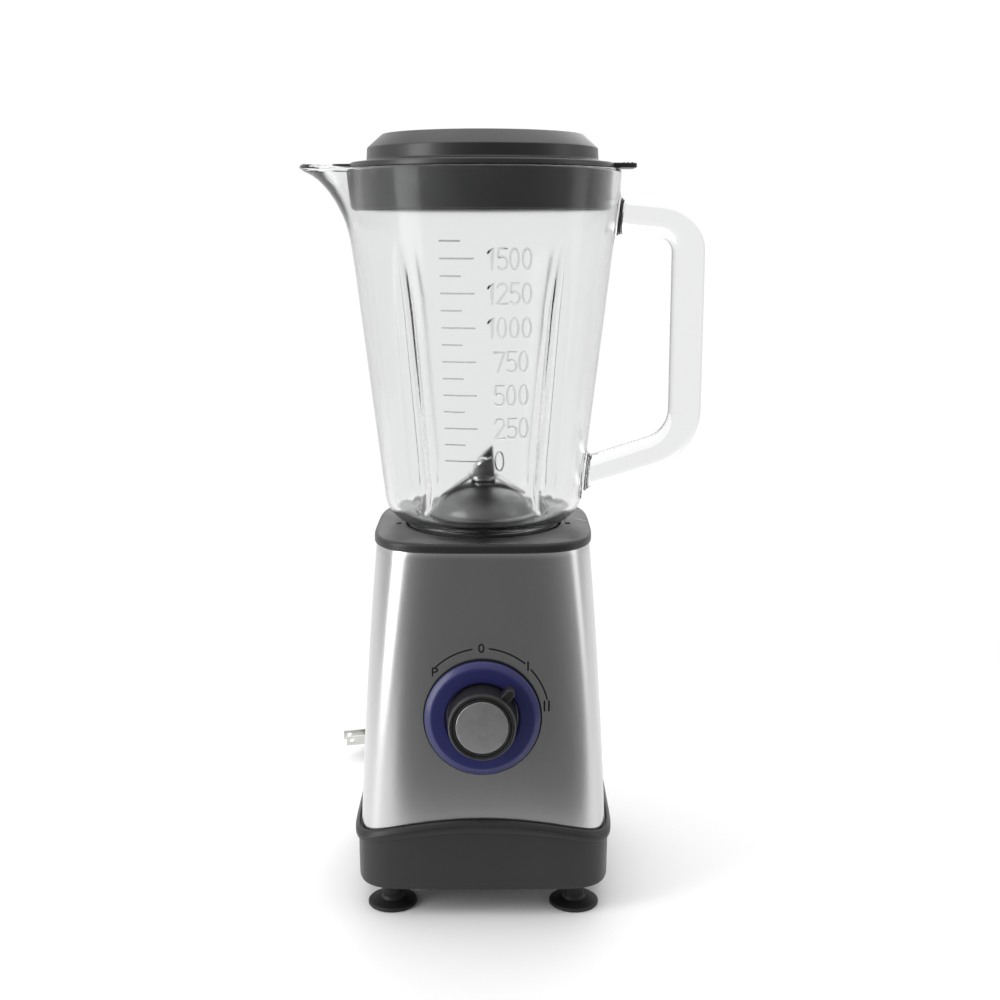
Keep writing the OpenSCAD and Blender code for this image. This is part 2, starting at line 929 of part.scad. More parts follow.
module carbon_brushes() {
    color("#2b2b2b")
        for (side = [0, 180])
            rotate([0, 0, side])
                difference() {
                    translate([-4, 8, 71.5])
                        cube([8, 20, 10]);
                    translate([0, 0, 60])
                        cylinder(r = 11.2, h = 30);
                }
}

module rubber_dampers() {
    color("#202020")
        four(post_place, post_place)
            ring(6.4, 2.1, bracket_z + bracket_t, 6);
}

module damper_screws() {
    color("darkgray")
        four(post_place, post_place)
            translate([0, 0, bracket_z - 3])
                screw(1.7, 4, 3, 26);
}

// ---- Dial and switch -------------------------------------------------------------------------

module dial_ring() {
    color("#2a2b5c")
        difference() {
            on_dial()
                rotate_extrude($fn = 128)
                    polygon([
                        [19.4, -3], [dial_ring_r, -3], [dial_ring_r, 2.2],
                        [dial_ring_r - 3.4, ring_face], [20.6, ring_face - 0.5], [19.4, ring_face - 1.4]
                    ]);
            body_block(body_foot_z, body_top_z, 0.02);
        }
}

module knob() {
    color("#303030")
        on_dial()
            difference() {
                union() {
                    rotate_extrude()
                        polygon([
                            [0, 4], [5.5, 4], [5.5, 17], [15.4, 17], [16.4, 1.5], [18.7, 1.5],
                            [knob_r + 0.2, knob_h - 1.2], [knob_r - 0.6, knob_h],
                            [knob_r - 1.7, knob_h], [knob_r - 2, knob_h - 1.2],
                            [knob_r - 2.5, knob_h - 1.2], [knob_r - 2.8, knob_h - 0.2],
                            [14.2, knob_h - 0.2], [14, knob_h - 1.6], [0, knob_h - 1.6]
                        ]);
                    rotate([0, 0, -pointer_angle])
                        translate([-2.5, 15.5, ring_face + 0.8]) {
                            cube([5, 7, 10.2]);
                            translate([2.5, 7, 0])
                                cylinder(r = 2.5, h = 10.2, $fn = 32);
                        }
                }
                translate([0, 0, -5])
                    cylinder(r = 3, h = 21);
            }
}

module knob_disc() {
    color("silver")
        on_dial()
            translate([0, 0, knob_h - 1.6])
                cylinder(r = 13.9, h = 1.5);
}

module switch_spindle() {
    color("lightgray")
        on_dial()
            translate([0, 0, -16])
                cylinder(r = 3, h = 32);
}

module rotary_switch() {
    color("#404040")
        on_dial()
            difference() {
                union() {
                    translate([-13, -13, -21])
                        cube([26, 26, 17.5]);
                    translate([0, 0, -4])
                        cylinder(r = 5, h = 7);
                    for (x = [-8, 0, 8])
                        translate([x - 2, 4, -25])
                            cube([4, 0.9, 5]);
                }
                translate([0, 0, -16.5])
                    cylinder(r = 3.06, h = 30);
            }
}

module switch_nut() {
    color("silver")
        on_dial()
            difference() {
                cylinder(r = 8, h = 2.4, $fn = 6);
                translate([0, 0, -through])
                    cylinder(r = 5, h = 5);
            }
}

// ---- Mains side ------------------------------------------------------------------------------

module terminal_block() {
    color("ivory")
        difference() {
            translate([20, 44, foot_h + 2.6])
                cube([22, 9, 12]);
            for (x = [25, 31, 37])
                translate([x, 48.5, foot_h + 10])
                    cylinder(r = 1.6, h = 10);
        }
}

module internal_leads() {
    switch_lead = [
        [37, 44, 24], [37, 41, 24.6], [42, 38, 30], [48, 34, 42], [52, 24, 58], [54, 8, 78], [52, -14, 96],
        [44, -32, 108], [30, -40, 116], [16, -38, 119], [8, -36, 119]
    ];
    front_lead = [
        [-8, -36, 119], [-22, -38, 112], [-30, -40, 96], [-24, -43, 82], [-10, -42, 77],
        [-1, -37, 76], [0, -32, 76]
    ];
    rear_lead = [
        [25, 44, 24], [25, 41, 24.6], [21, 41, 33], [14, 46, 46], [6, 46, 62], [1, 42, 73],
        [0, 37, 76], [0, 32, 76]
    ];
    color("firebrick") {
        for (route = [switch_lead, front_lead, rear_lead])
            sweep(route, 1.1, 1.1, 8, [0.3, 0.2, 1]);
        translate([exit_x, 53, exit_z])
            rotate([-90, 0, 0])
                cylinder(r = cord_r, h = 8);
    }
}

module cord_clamp() {
    color("#262626")
        difference() {
            translate([exit_x - 9, 54.5, foot_h + 2.6])
                cube([18, 5, 17]);
            translate([exit_x, 50, exit_z])
                rotate([-90, 0, 0])
                    cylinder(r = cord_r, h = 14);
        }
}

module strain_relief() {
    color("#222222")
        translate([exit_x, 0, exit_z])
            rotate([-90, 0, 0])
                rotate_extrude()
                    polygon(concat(
                        [[0, 61], [8.6, 61], [8.6, 63], [6.4, 63], [6.4, 70.6], [8.8, 70.6],
                         [8.8, 72.4]],
                        [for (i = [0 : 5]) each
                            [[6.6 - 0.4 * i, 73 + 5 * i], [6.4 - 0.4 * i, 75.8 + 5 * i],
                             [5.2 - 0.3 * i, 76 + 5 * i], [5.2 - 0.3 * i, 77.8 + 5 * i]]],
                        [[cord_r + 0.5, exit_y], [0, exit_y]]
                    ));
}

module cord_lead() {
    color("#1e1e1e")
        sweep(lead_route, cord_r, cord_r, 12, [0, 0, 1]);
}

module cord_tail() {
    color("#1e1e1e")
        sweep(tail_route, cord_r, cord_r, 12, [0, 0, 1]);
}

module cord_coil() {
    color("#1e1e1e")
        translate([coil_x, coil_y, coil_floor])
            rotate_extrude()
                polygon([
                    [coil_mid_r - 5, 0], [coil_mid_r + 5, 0], [coil_mid_r + 6, 3],
                    [coil_mid_r + 3, 11.2], [coil_mid_r - 3, 11.2], [coil_mid_r - 6, 3]
                ]);
}

module cord_tie() {
    half = 7.1;
    color("#151515")
        translate([coil_x - 3, coil_y - coil_mid_r, 0])
            difference() {
                translate([0, -half, 0])
                    cube([6, 2 * half, 13]);
                translate([-through, 0.9 - half, coil_floor])
                    cube([8, 2 * half - 1.8, 11.3]);
            }
}

module on_plug() {
    translate(plug_face)
        rotate([0, 0, plug_turn])
            children();
}

module plug_body() {
    color("#222222")
        on_plug()
            difference() {
                union() {
                    translate([0, -13, -12])
                        cube([5, 26, 24.4]);
                    translate([4, -10.5, -10])
                        cube([20, 21, 20]);
                    translate([23, 0, 0])
                        rotate([0, 90, 0])
                            cylinder(r1 = 8, r2 = 4, h = 15);
                }
                for (side = [-1, 1])
                    translate([-through, side * 6.35 - 0.8, -3.2])
                        cube([4 + through, 1.6, 6.4]);
            }
}

module plug_blades() {
    color("silver")
        on_plug()
            for (side = [-1, 1])
                translate([-17.5, side * 6.35 - 0.75, -3.15])
                    difference() {
                        cube([21, 1.5, 6.3]);
                        translate([4, -through, 3.15])
                            rotate([-90, 0, 0])
                                cylinder(r = 1.6, h = 4);
                    }
}

lid();
lid_seal();
filler_cap();
glass_jar();
jar_collar();
jar_gasket();
blade_holder();
blade_bush();
shaft_seal();
blade_shaft();
shaft_clip();
blade_washer();
lower_blade();
upper_blade();
blade_nut();
jar_drive_socket();
top_plate();
steel_housing();
base_skirt();
bottom_cover();
feet();
cover_screws();
drive_coupling();
motor_shaft();
rotor_core();
rotor_windings();
commutator();
cooling_fan();
stator_core();
field_coils();
upper_bracket();
lower_bracket();
upper_bearing();
lower_bearing();
through_bolts();
brush_holders();
carbon_brushes();
rubber_dampers();
damper_screws();
dial_ring();
knob();
knob_disc();
switch_spindle();
rotary_switch();
switch_nut();
terminal_block();
internal_leads();
cord_clamp();
strain_relief();
cord_lead();
cord_coil();
cord_tail();
cord_tie();
plug_body();
plug_blades();
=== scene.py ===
"""Looks for the countertop blender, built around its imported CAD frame.

Lengths are in mm until MM scales them.
"""
from math import acos, atan, atan2, copysign, cos, degrees, hypot, pi, radians, sin, sqrt, tan

import bpy
import bmesh
from mathutils import Matrix, Vector


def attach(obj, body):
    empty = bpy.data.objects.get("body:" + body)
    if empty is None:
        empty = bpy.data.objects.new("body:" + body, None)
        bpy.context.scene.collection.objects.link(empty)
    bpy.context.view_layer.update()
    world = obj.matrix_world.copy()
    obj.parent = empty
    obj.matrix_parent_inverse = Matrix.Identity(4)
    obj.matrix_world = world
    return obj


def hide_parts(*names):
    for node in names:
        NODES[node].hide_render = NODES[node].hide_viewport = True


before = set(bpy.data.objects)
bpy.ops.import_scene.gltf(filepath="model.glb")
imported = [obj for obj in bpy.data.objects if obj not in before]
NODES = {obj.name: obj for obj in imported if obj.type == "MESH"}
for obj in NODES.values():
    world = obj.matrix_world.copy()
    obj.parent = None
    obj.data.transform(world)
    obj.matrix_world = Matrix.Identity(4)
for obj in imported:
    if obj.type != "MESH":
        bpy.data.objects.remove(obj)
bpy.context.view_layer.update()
MM = 0.001
TAU = 2 * pi

# ---- Sizes shared with the CAD model ----

FLANGE_Z = 403.0
LID_TOP = 421.0
GLASS = 3.6
FLARE = 0.117
FLARE_ANGLE = atan(FLARE)
FLOOR_Z = 209.5
SHOULDER_R = 16.0
SHOULDER_X, SHOULDER_Z = 39.3, 225.5
CONE_R = SHOULDER_X + SHOULDER_R * cos(FLARE_ANGLE)
CONE_Z = SHOULDER_Z - SHOULDER_R * sin(FLARE_ANGLE)
NECK_R, NECK_BORE, NECK_Z = 38.5, 33.0, 192.0
WELL_R, WELL_Z = 44.0, 186.0
FOOT_HALF, TOP_HALF, BOW = 68.4, 59.0, 1.2
FOOT_POWER, TOP_POWER = 7, 4
BODY_FOOT, BODY_TOP = 46.0, 203.2
STEEL = 1.2
PLATE_Z, PLATE_HALF = 208.0, 60.2
BAND_HALF = 71.8
CREST_Z, WAVE_FOOT, WAVE_REACH, BAND_H = 57.0, 47.6, 67, 6.8
FOOT_H = 16.0
SLOPE = (FOOT_HALF - TOP_HALF) / (BODY_TOP - BODY_FOOT)
DIAL_Z = 114.0
DIAL_Y = -(FOOT_HALF - SLOPE * (DIAL_Z - BODY_FOOT))
LEAN = atan(SLOPE)
KNOB_R, KNOB_H, RING_R, RING_FACE = 17.7, 20.5, 32.0, 5.5
POINTER = 41.0
CORD_D = 6.0


def jar_r(z):
    """Outer radius of the jar's straight wall."""
    return CONE_R + (z - CONE_Z) * FLARE


def wave_share(x):
    """0 at the wave's crest, 1 from WAVE_REACH outwards."""
    return min(1.0, abs(x) / WAVE_REACH) ** 2


def wave_z(x):
    """Height of the skirt's wavy edge."""
    return CREST_Z - (CREST_Z - WAVE_FOOT) * wave_share(x)


def signed_power(v, power):
    return copysign(abs(v) ** power, v)


def corner_params(count):
    """Cosines and sines that spread a rounded square's points evenly over sides and corners."""
    out = []
    for i in range(count):
        a = TAU * i / count
        a += 0.09 * sin(4 * a)
        c, s = signed_power(cos(a), FOOT_POWER / 2), signed_power(sin(a), FOOT_POWER / 2)
        size = hypot(c, s)
        out.append((c / size, s / size))
    return out


def squircle(half, power, count):
    return [(half * signed_power(c, 2 / power), half * signed_power(s, 2 / power))
            for c, s in corner_params(count)]


def section_point(z, grow, c, s):
    """Point of the steel's section at height z, grown by grow."""
    t = (z - BODY_FOOT) / (BODY_TOP - BODY_FOOT)
    bow = 1 + 4 * BOW * t * (1 - t) / FOOT_HALF
    x, y = ((FOOT_HALF + grow) * signed_power(v, 2 / FOOT_POWER) * (1 - t)
            + (TOP_HALF + grow) * signed_power(v, 2 / TOP_POWER) * t for v in (c, s))
    return x * bow, y


def body_section(z, grow):
    return [section_point(z, grow, c, s) for c, s in corner_params(192)]


def front_y(x, z):
    """Y of the steel's front face at x and z."""
    low, high = 0.0, 1.0
    for _ in range(40):
        c = (low + high) / 2
        if section_point(z, 0, c, 0)[0] < abs(x):
            low = c
        else:
            high = c
    c = (low + high) / 2
    return section_point(z, 0, c, -sqrt(1 - c * c))[1]


# ---- Camera and light ----

scene = bpy.context.scene
scene.view_settings.view_transform = "Standard"
scene.view_settings.look = "None"
WHITE = 1.02
LOOK_DOWN = 11.25


def add_object(name, data):
    ob = bpy.data.objects.new(name, data)
    scene.collection.objects.link(ob)
    return ob


def grey(v):
    return v, v, v


def add_camera():
    data = bpy.data.cameras.new("camera")
    data.lens = 50
    data.sensor_width = 36
    data.clip_start = 0.01
    cam = add_object("camera", data)
    cam.location = (0.0094, -0.7738, 0.374)
    cam.rotation_euler = (radians(90 - LOOK_DOWN), 0, 0)
    scene.camera = cam


def put(n, values):
    """Sets constants on a node's own sockets."""
    for key, value in values.items():
        n.inputs[key].default_value = value
    return n


def node(tree, kind, values=None, **settings):
    """New node; values are its sockets' constants, settings its own properties."""
    n = tree.nodes.new(kind)
    for key, value in settings.items():
        setattr(n, key, value)
    return put(n, values or {})


def ramp(t, value, dark, light, low=0.3, high=0.7):
    r = node(t, "ShaderNodeValToRGB")
    e = r.color_ramp.elements
    e[0].position, e[1].position = low, high
    e[0].color, e[1].color = (*dark, 1), (*light, 1)
    t.links.new(value, r.inputs["Fac"])
    return r.outputs["Color"]


def mix_shaders(t, factor, first, second, into):
    mix = node(t, "ShaderNodeMixShader")
    for value, socket in zip((factor, first, second), mix.inputs):
        t.links.new(value, socket)
    t.links.new(mix.outputs["Shader"], into)


def add_world():
    world = bpy.data.worlds.new("studio")
    world.use_nodes = True
    scene.world = world
    t = world.node_tree
    t.nodes.clear()
    out = node(t, "ShaderNodeOutputWorld")
    back = node(t, "ShaderNodeBackground")
    plain = node(t, "ShaderNodeBackground", {"Color": (1, 1, 1, 1), "Strength": WHITE})
    coord = node(t, "ShaderNodeTexCoord")
    split = node(t, "ShaderNodeSeparateXYZ")
    t.links.new(coord.outputs["Generated"], split.inputs[0])
    # Brighter overhead and behind the object, darker towards the viewer.
    depth = node(t, "ShaderNodeMapRange", {"From Min": -1.0, "From Max": 0.9})
    t.links.new(split.outputs["Y"], depth.inputs["Value"])
    ahead = ramp(t, depth.outputs["Result"], grey(0.12), grey(0.88), 0.0, 1.0)
    overhead = node(t, "ShaderNodeMapRange", {"To Max": 0.4})
    t.links.new(split.outputs["Z"], overhead.inputs["Value"])
    add = node(t, "ShaderNodeMix", {"Factor": 1.0}, data_type="RGBA", blend_type="ADD")
    t.links.new(ahead, add.inputs["A"])
    t.links.new(overhead.outputs["Result"], add.inputs["B"])
    t.links.new(add.outputs["Result"], back.inputs["Color"])
    # The camera sees plain white; only lights and reflections get the shaded studio.
    path = node(t, "ShaderNodeLightPath")
    mix_shaders(t, path.outputs["Is Camera Ray"], back.outputs["Background"],
                plain.outputs["Background"], out.inputs["Surface"])


def add_light(name, place, aim_z, size, power, size_y=None):
    """Area lamp aimed at the height aim_z on the drive axis."""
    data = bpy.data.lights.new(name, "AREA")
    data.energy = power
    data.size = size
    if size_y:
        data.shape = "RECTANGLE"
        data.size_y = size_y
    lamp = add_object(name, data)
    lamp.location = place
    aim = Vector((0, 0, aim_z)) - Vector(place)
    lamp.rotation_euler = aim.to_track_quat("-Z", "Y").to_euler()


add_camera()
add_world()
add_light("light_top", (0.0, 0.0, 1.5), 0.2, 1.3, 5)
add_light("light_left", (-0.95, -0.5, 0.45), 0.18, 0.42, 9, 1.3)
add_light("light_right", (1.0, -0.1, 0.4), 0.2, 0.3, 1.2, 1.2)
add_light("light_rear", (0.2, 1.2, 1.1), 0.2, 1.2, 5)

# ---- Materials ----


def principled(name, rough, metallic=0.0, coat=0.0, spec=0.5):
    m = bpy.data.materials.new(name)
    m.use_nodes = True
    t = m.node_tree
    b = put(t.nodes["Principled BSDF"],
            {"Metallic": metallic, "Roughness": rough, "Specular IOR Level": spec})
    if coat:
        put(b, {"Coat Weight": coat, "Coat Roughness": 0.12})
    return m, t, b


def object_coords(t, stretch=(1, 1, 1)):
    coord = node(t, "ShaderNodeTexCoord")
    scale = node(t, "ShaderNodeMapping", {"Scale": stretch})
    t.links.new(coord.outputs["Object"], scale.inputs["Vector"])
    return scale.outputs["Vector"]


def noise(t, vector, scale, detail=4.0, rough=0.55):
    n = node(t, "ShaderNodeTexNoise", {"Scale": scale, "Detail": detail, "Roughness": rough})
    t.links.new(vector, n.inputs["Vector"])
    return n.outputs["Fac"]


def remap(t, value, low, high):
    """The middle half of a noise's values spread over low to high."""
    n = node(t, "ShaderNodeMapRange",
             {"From Min": 0.25, "From Max": 0.75, "To Min": low, "To Max": high})
    t.links.new(value, n.inputs["Value"])
    return n.outputs["Result"]


def bump(t, b, height, strength, distance):
    n = node(t, "ShaderNodeBump", {"Strength": strength, "Distance": distance})
    t.links.new(height, n.inputs["Height"])
    t.links.new(n.outputs["Normal"], b.inputs["Normal"])


def vary(t, b, tone, color, spread):
    """Base colour that drifts by spread either way."""
    low, high = [c * (1 - spread) for c in color], [c * (1 + spread) for c in color]
    t.links.new(ramp(t, tone, low, high), b.inputs["Base Color"])


def plastic(name, color, rough, grain=900.0, grain_depth=0.00004, spread=0.12, coat=0.0, spec=0.5):
    """Moulded plastic or rubber: fine grain, slight unevenness of tone and gloss."""
    m, t, b = principled(name, rough, coat=coat, spec=spec)
    v = object_coords(t)
    vary(t, b, noise(t, v, 14, 3), color, spread)
    fine = noise(t, v, grain, 2, 0.6)
    t.links.new(remap(t, noise(t, v, 45, 4), rough * 0.88, rough * 1.14), b.inputs["Roughness"])
    bump(t, b, fine, 0.35, grain_depth)
    return m


def metal(name, color, rough, stretch=(1, 1, 1), scale=300.0, depth=0.00002, spread=0.1,
          strength=0.3, gloss=0.18):
    """Metal with fine scratches drawn out along the axes where stretch is small."""
    m, t, b = principled(name, rough, metallic=1.0)
    v = object_coords(t, stretch)
    lines = noise(t, v, scale, 5, 0.65)
    vary(t, b, lines, color, spread)
    t.links.new(remap(t, lines, rough * (1 - gloss), rough * (1 + gloss)), b.inputs["Roughness"])
    bump(t, b, lines, strength, depth)
    return m


def turned(name, color, rough, rings=2600.0):
    """Spun or turned metal: fine rings round the object's own axis."""
    m, t, b = principled(name, rough, metallic=1.0)
    v = object_coords(t)
    wave = node(t, "ShaderNodeTexWave", {"Scale": rings, "Distortion": 1.5, "Detail": 3},
                wave_type="RINGS", rings_direction="SPHERICAL")
    t.links.new(v, wave.inputs["Vector"])
    vary(t, b, noise(t, v, 120, 4), color, 0.1)
    t.links.new(remap(t, wave.outputs["Fac"], rough * 0.85, rough * 1.2), b.inputs["Roughness"])
    bump(t, b, wave.outputs["Fac"], 0.25, 0.00003)
    return m


def glass(name, color, rough, bump_depth=0.0):
    m, t, b = principled(name, rough)
    put(b, {"Transmission Weight": 1.0, "Specular Tint": (0.14, 0.14, 0.14, 1), "IOR": 1.5})
    v = object_coords(t)
    tone = noise(t, v, 6, 2)
    t.links.new(ramp(t, tone, [c * 0.992 for c in color], color), b.inputs["Base Color"])
    if bump_depth:
        bump(t, b, noise(t, v, 16, 2), 0.4, bump_depth)
    return m


M = {
    "lid": plastic("lid_plastic", grey(0.022), 0.38, coat=0.08),
    "seal": plastic("seal_rubber", grey(0.08), 0.5),
    "glass": glass("jar_glass", (0.955, 0.962, 0.96), 0.09, bump_depth=0.00025),
    "figures": glass("figure_glass", (0.84, 0.85, 0.85), 0.14),
    "emboss": glass("scale_glass", (0.62, 0.63, 0.63), 0.22),
    "gasket": plastic("gasket_silicone", (0.6, 0.6, 0.57), 0.5),
    "collar": plastic("collar_plastic", grey(0.018), 0.4),
    "blade": metal("blade_steel", grey(0.46), 0.22, (1, 1, 0.08), 500, spread=0.08),
    "dome": turned("dome_steel", grey(0.27), 0.42, 900),
    "shaft": turned("ground_steel", (0.6, 0.6, 0.61), 0.25),
    "plate": plastic("plate_plastic", grey(0.018), 0.42, 1100, 0.00003),
    "steel": metal("housing_steel", grey(0.6), 0.26, (1, 1, 0.02), 900, 0.000002, 0.012,
                   strength=0.02, gloss=0.05),
    "skirt": plastic("skirt_plastic", grey(0.013), 0.42, 1200, 0.00003),
    "cover": plastic("cover_plastic", grey(0.022), 0.6, 700, 0.00012),
    "rubber": plastic("foot_rubber", grey(0.007), 0.55, 600, 0.0001),
    "nylon": plastic("coupling_nylon", grey(0.05), 0.5),
    "navy": plastic("dial_navy", (0.019, 0.021, 0.12), 0.4, 1500, 0.00002, 0.06, 0.2),
    "knob": plastic("knob_plastic", grey(0.017), 0.38, 1200, 0.00003),
    "disc": turned("disc_alloy", grey(0.62), 0.34, 2200),
    # Black ink for the printed marks, also used as painted shade on the dial ring's lip.
    "print": plastic("ink_and_painted_shade", (0.004, 0.004, 0.005), 0.6, 2500, 0.00001, spec=0.2),
    "laminations": metal("laminations", (0.32, 0.33, 0.35), 0.45, (0.02, 0.02, 1), 1500, 0.0001,
                         0.25),
    "copper": metal("copper_wire", (0.62, 0.26, 0.1), 0.35, (0.05, 0.05, 1), 1400, 0.0002, 0.3),
    "alloy": metal("bracket_alloy", (0.6, 0.6, 0.61), 0.5, (1, 1, 1), 500, 0.00008),
    "brass": metal("holder_brass", (0.62, 0.45, 0.2), 0.35, (1, 0.1, 1), 400),
    "carbon": plastic("carbon", grey(0.02), 0.75, 1500, 0.0001),
    "switch": plastic("switch_plastic", (0.07, 0.07, 0.08), 0.5),
    "ivory": plastic("terminal_plastic", (0.6, 0.57, 0.48), 0.5),
    "lead": plastic("lead_sleeve", (0.25, 0.02, 0.02), 0.45),
    "cord": plastic("cord_pvc", grey(0.022), 0.45, 900, 0.00006),
    "pin": metal("pin_metal", (0.62, 0.62, 0.6), 0.22, (0.1, 1, 1), 500),
}

# ---- Mesh helpers ----


def finish_mesh(name, verts, faces, matrix=None):
    me = bpy.data.meshes.new(name)
    me.from_pydata([(x * MM, y * MM, z * MM) for x, y, z in verts], [], faces)
    b = bmesh.new()
    b.from_mesh(me)
    bmesh.ops.remove_doubles(b, verts=b.verts, dist=1e-7)
    bmesh.ops.dissolve_degenerate(b, edges=b.edges, dist=1e-8)
    loose = [e for e in b.edges if not e.link_faces]
    bmesh.ops.delete(b, geom=loose, context="EDGES")
    bmesh.ops.recalc_face_normals(b, faces=b.faces)
    b.to_mesh(me)
    b.free()
    ob = add_object(name, me)
    if matrix is not None:
        ob.matrix_world = matrix
    return ob


def dress(ob, material, body, stands_for=(), angle=32):
    """Material, shading, the body it rides on and the CAD nodes it stands for."""
    me = ob.data
    if material and not me.materials:
        me.materials.append(M[material])
    me.shade_smooth()
    me.set_sharp_from_angle(angle=radians(angle))
    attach(ob, body)
    if stands_for:
        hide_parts(*stands_for)


def quarter(steps, first=0):
    """Angles of a quarter turn in equal steps."""
    return [pi / 2 * k / steps for k in range(first, steps + 1)]


def arc(cx, cy, r, start, end, steps):
    turns = [radians(start + (end - start) * i / steps) for i in range(steps + 1)]
    return [(cx + r * cos(a), cy + r * sin(a)) for a in turns]


def rounded(points, radius, steps):
    """Polygon with its corners rounded; radius is one number or one per point."""
    n = len(points)
    out = []
    for i in range(n):
        p = Vector(points[i]).to_2d()
        r = radius if isinstance(radius, (int, float)) else radius[i]
        if r <= 0:
            out.append((p.x, p.y))
            continue
        a, c = Vector(points[i - 1]).to_2d(), Vector(points[(i + 1) % n]).to_2d()
        u, v = (a - p), (c - p)
        lu, lv = u.length, v.length
        u, v = u / lu, v / lv
        angle = acos(max(-1, min(1, u.dot(v))))
        if angle > radians(178):
            out.append((p.x, p.y))
            continue
        cut = min(r / tan(angle / 2), lu * 0.48, lv * 0.48)
        s, e = p + u * cut, p + v * cut
        for k in range(steps + 1):
            t = k / steps
            q = s * (1 - t) ** 2 + p * 2 * t * (1 - t) + e * t * t
            out.append((q.x, q.y))
    return out


def loft(name, rings, matrix=None, closed=False, caps=True):
    """Skin over rings of equal counts; closed joins the last ring to the first."""
    n = len(rings[0])
    verts = [p for ring in rings for p in ring]
    faces = []
    count = len(rings)
    for r in range(count if closed else count - 1):
        a, b = r * n, ((r + 1) % count) * n
        for i in range(n):
            j = (i + 1) % n
            faces.append((a + i, b + i, b + j, a + j))
    if caps and not closed:
        faces.append(tuple(range(n)))
        faces.append(tuple((count - 1) * n + i for i in reversed(range(n))))
    return finish_mesh(name, verts, faces, matrix)


def lathe(name, profile, steps=128, matrix=None, wobble=None):
    """Closed profile of (r, z) turned round Z. wobble(angle, r, z) may return a changed (r, z)."""
    rings = []
    for r, z in profile:
        ring = []
        for i in range(steps):
            a = TAU * i / steps
            rr, zz = wobble(a, r, z) if wobble else (r, z)
            ring.append((rr * cos(a), rr * sin(a), zz))
        rings.append(ring)
    on_axis = profile[0][0] < 1e-6 and profile[-1][0] < 1e-6
    return loft(name, rings, matrix, closed=not on_axis, caps=False)


def rod(r, low, high, steps=48):
    """Plain cylinder to cut a bore with."""
    return lathe("bore", [(0, low), (r, low), (r, high), (0, high)], steps)


def box(x0, y0, x1, y1):
    """Corners of a rectangle, anticlockwise."""
    return [(x0, y0), (x1, y0), (x1, y1), (x0, y1)]


def slab(name, outline, z0, z1, bevel):
    """Extruded outline (anticlockwise) with rounded upper and lower edges."""
    n = len(outline)
    normals = []
    for i in range(n):
        a, c = Vector(outline[i - 1]), Vector(outline[(i + 1) % n])
        d = (c - a).normalized()
        normals.append((d.y, -d.x))
    levels = [(bevel * (1 - sin(a)), z0 + bevel * (1 - cos(a))) for a in quarter(3)]
    levels += [(bevel * (1 - cos(a)), z1 - bevel * (1 - sin(a))) for a in quarter(3)]
    rings = [[(p[0] - w[0] * off, p[1] - w[1] * off, z) for p, w in zip(outline, normals)]
             for off, z in levels]
    return loft(name, rings)


def join(name, objects):
    b = bmesh.new()
    for o in objects:
        b.from_mesh(o.data)
        bpy.data.objects.remove(o)
    me = bpy.data.meshes.new(name)
    b.to_mesh(me)
    b.free()
    return add_object(name, me)


def combine(base, others, operation="UNION"):
    """base with the others added to it or cut from it."""
    for other in others:
        mod = base.modifiers.new("bool", "BOOLEAN")
        mod.operation = operation
        mod.solver = "EXACT"
        mod.object = other
    graph = bpy.context.evaluated_depsgraph_get()
    done = bpy.data.meshes.new_from_object(base.evaluated_get(graph))
    base.modifiers.clear()
    base.data = done
    for other in others:
        bpy.data.objects.remove(other)
    return base


def apply_matrix(ob):
    """Moves the mesh itself to where the object's matrix puts it."""
    ob.data.transform(ob.matrix_world)
    ob.matrix_world = Matrix.Identity(4)


def dial_matrix():
    return (Matrix.Translation((0, DIAL_Y * MM, DIAL_Z * MM))
            @ Matrix.Rotation(radians(90) - LEAN, 4, "X"))


# ---- Lid ----


def lid_plate(name, reach, half_w, z, t, corner, side):
    """Thin tab that runs out from under the flange; side is +1 for +X."""
    inner = 68.0
    corners = [(inner, -half_w), (reach, -half_w + 2), (reach, half_w - 2), (inner, half_w)]
    shape = rounded(corners, [0, corner, corner, 0], 8)
    out = []
    for x, y in shape:
        if x > inner + 1:
            x = min(x, sqrt(reach * reach - y * y))
        out.append((x * side, y * side))
    return slab(name, out, z, z + t, 0.7)


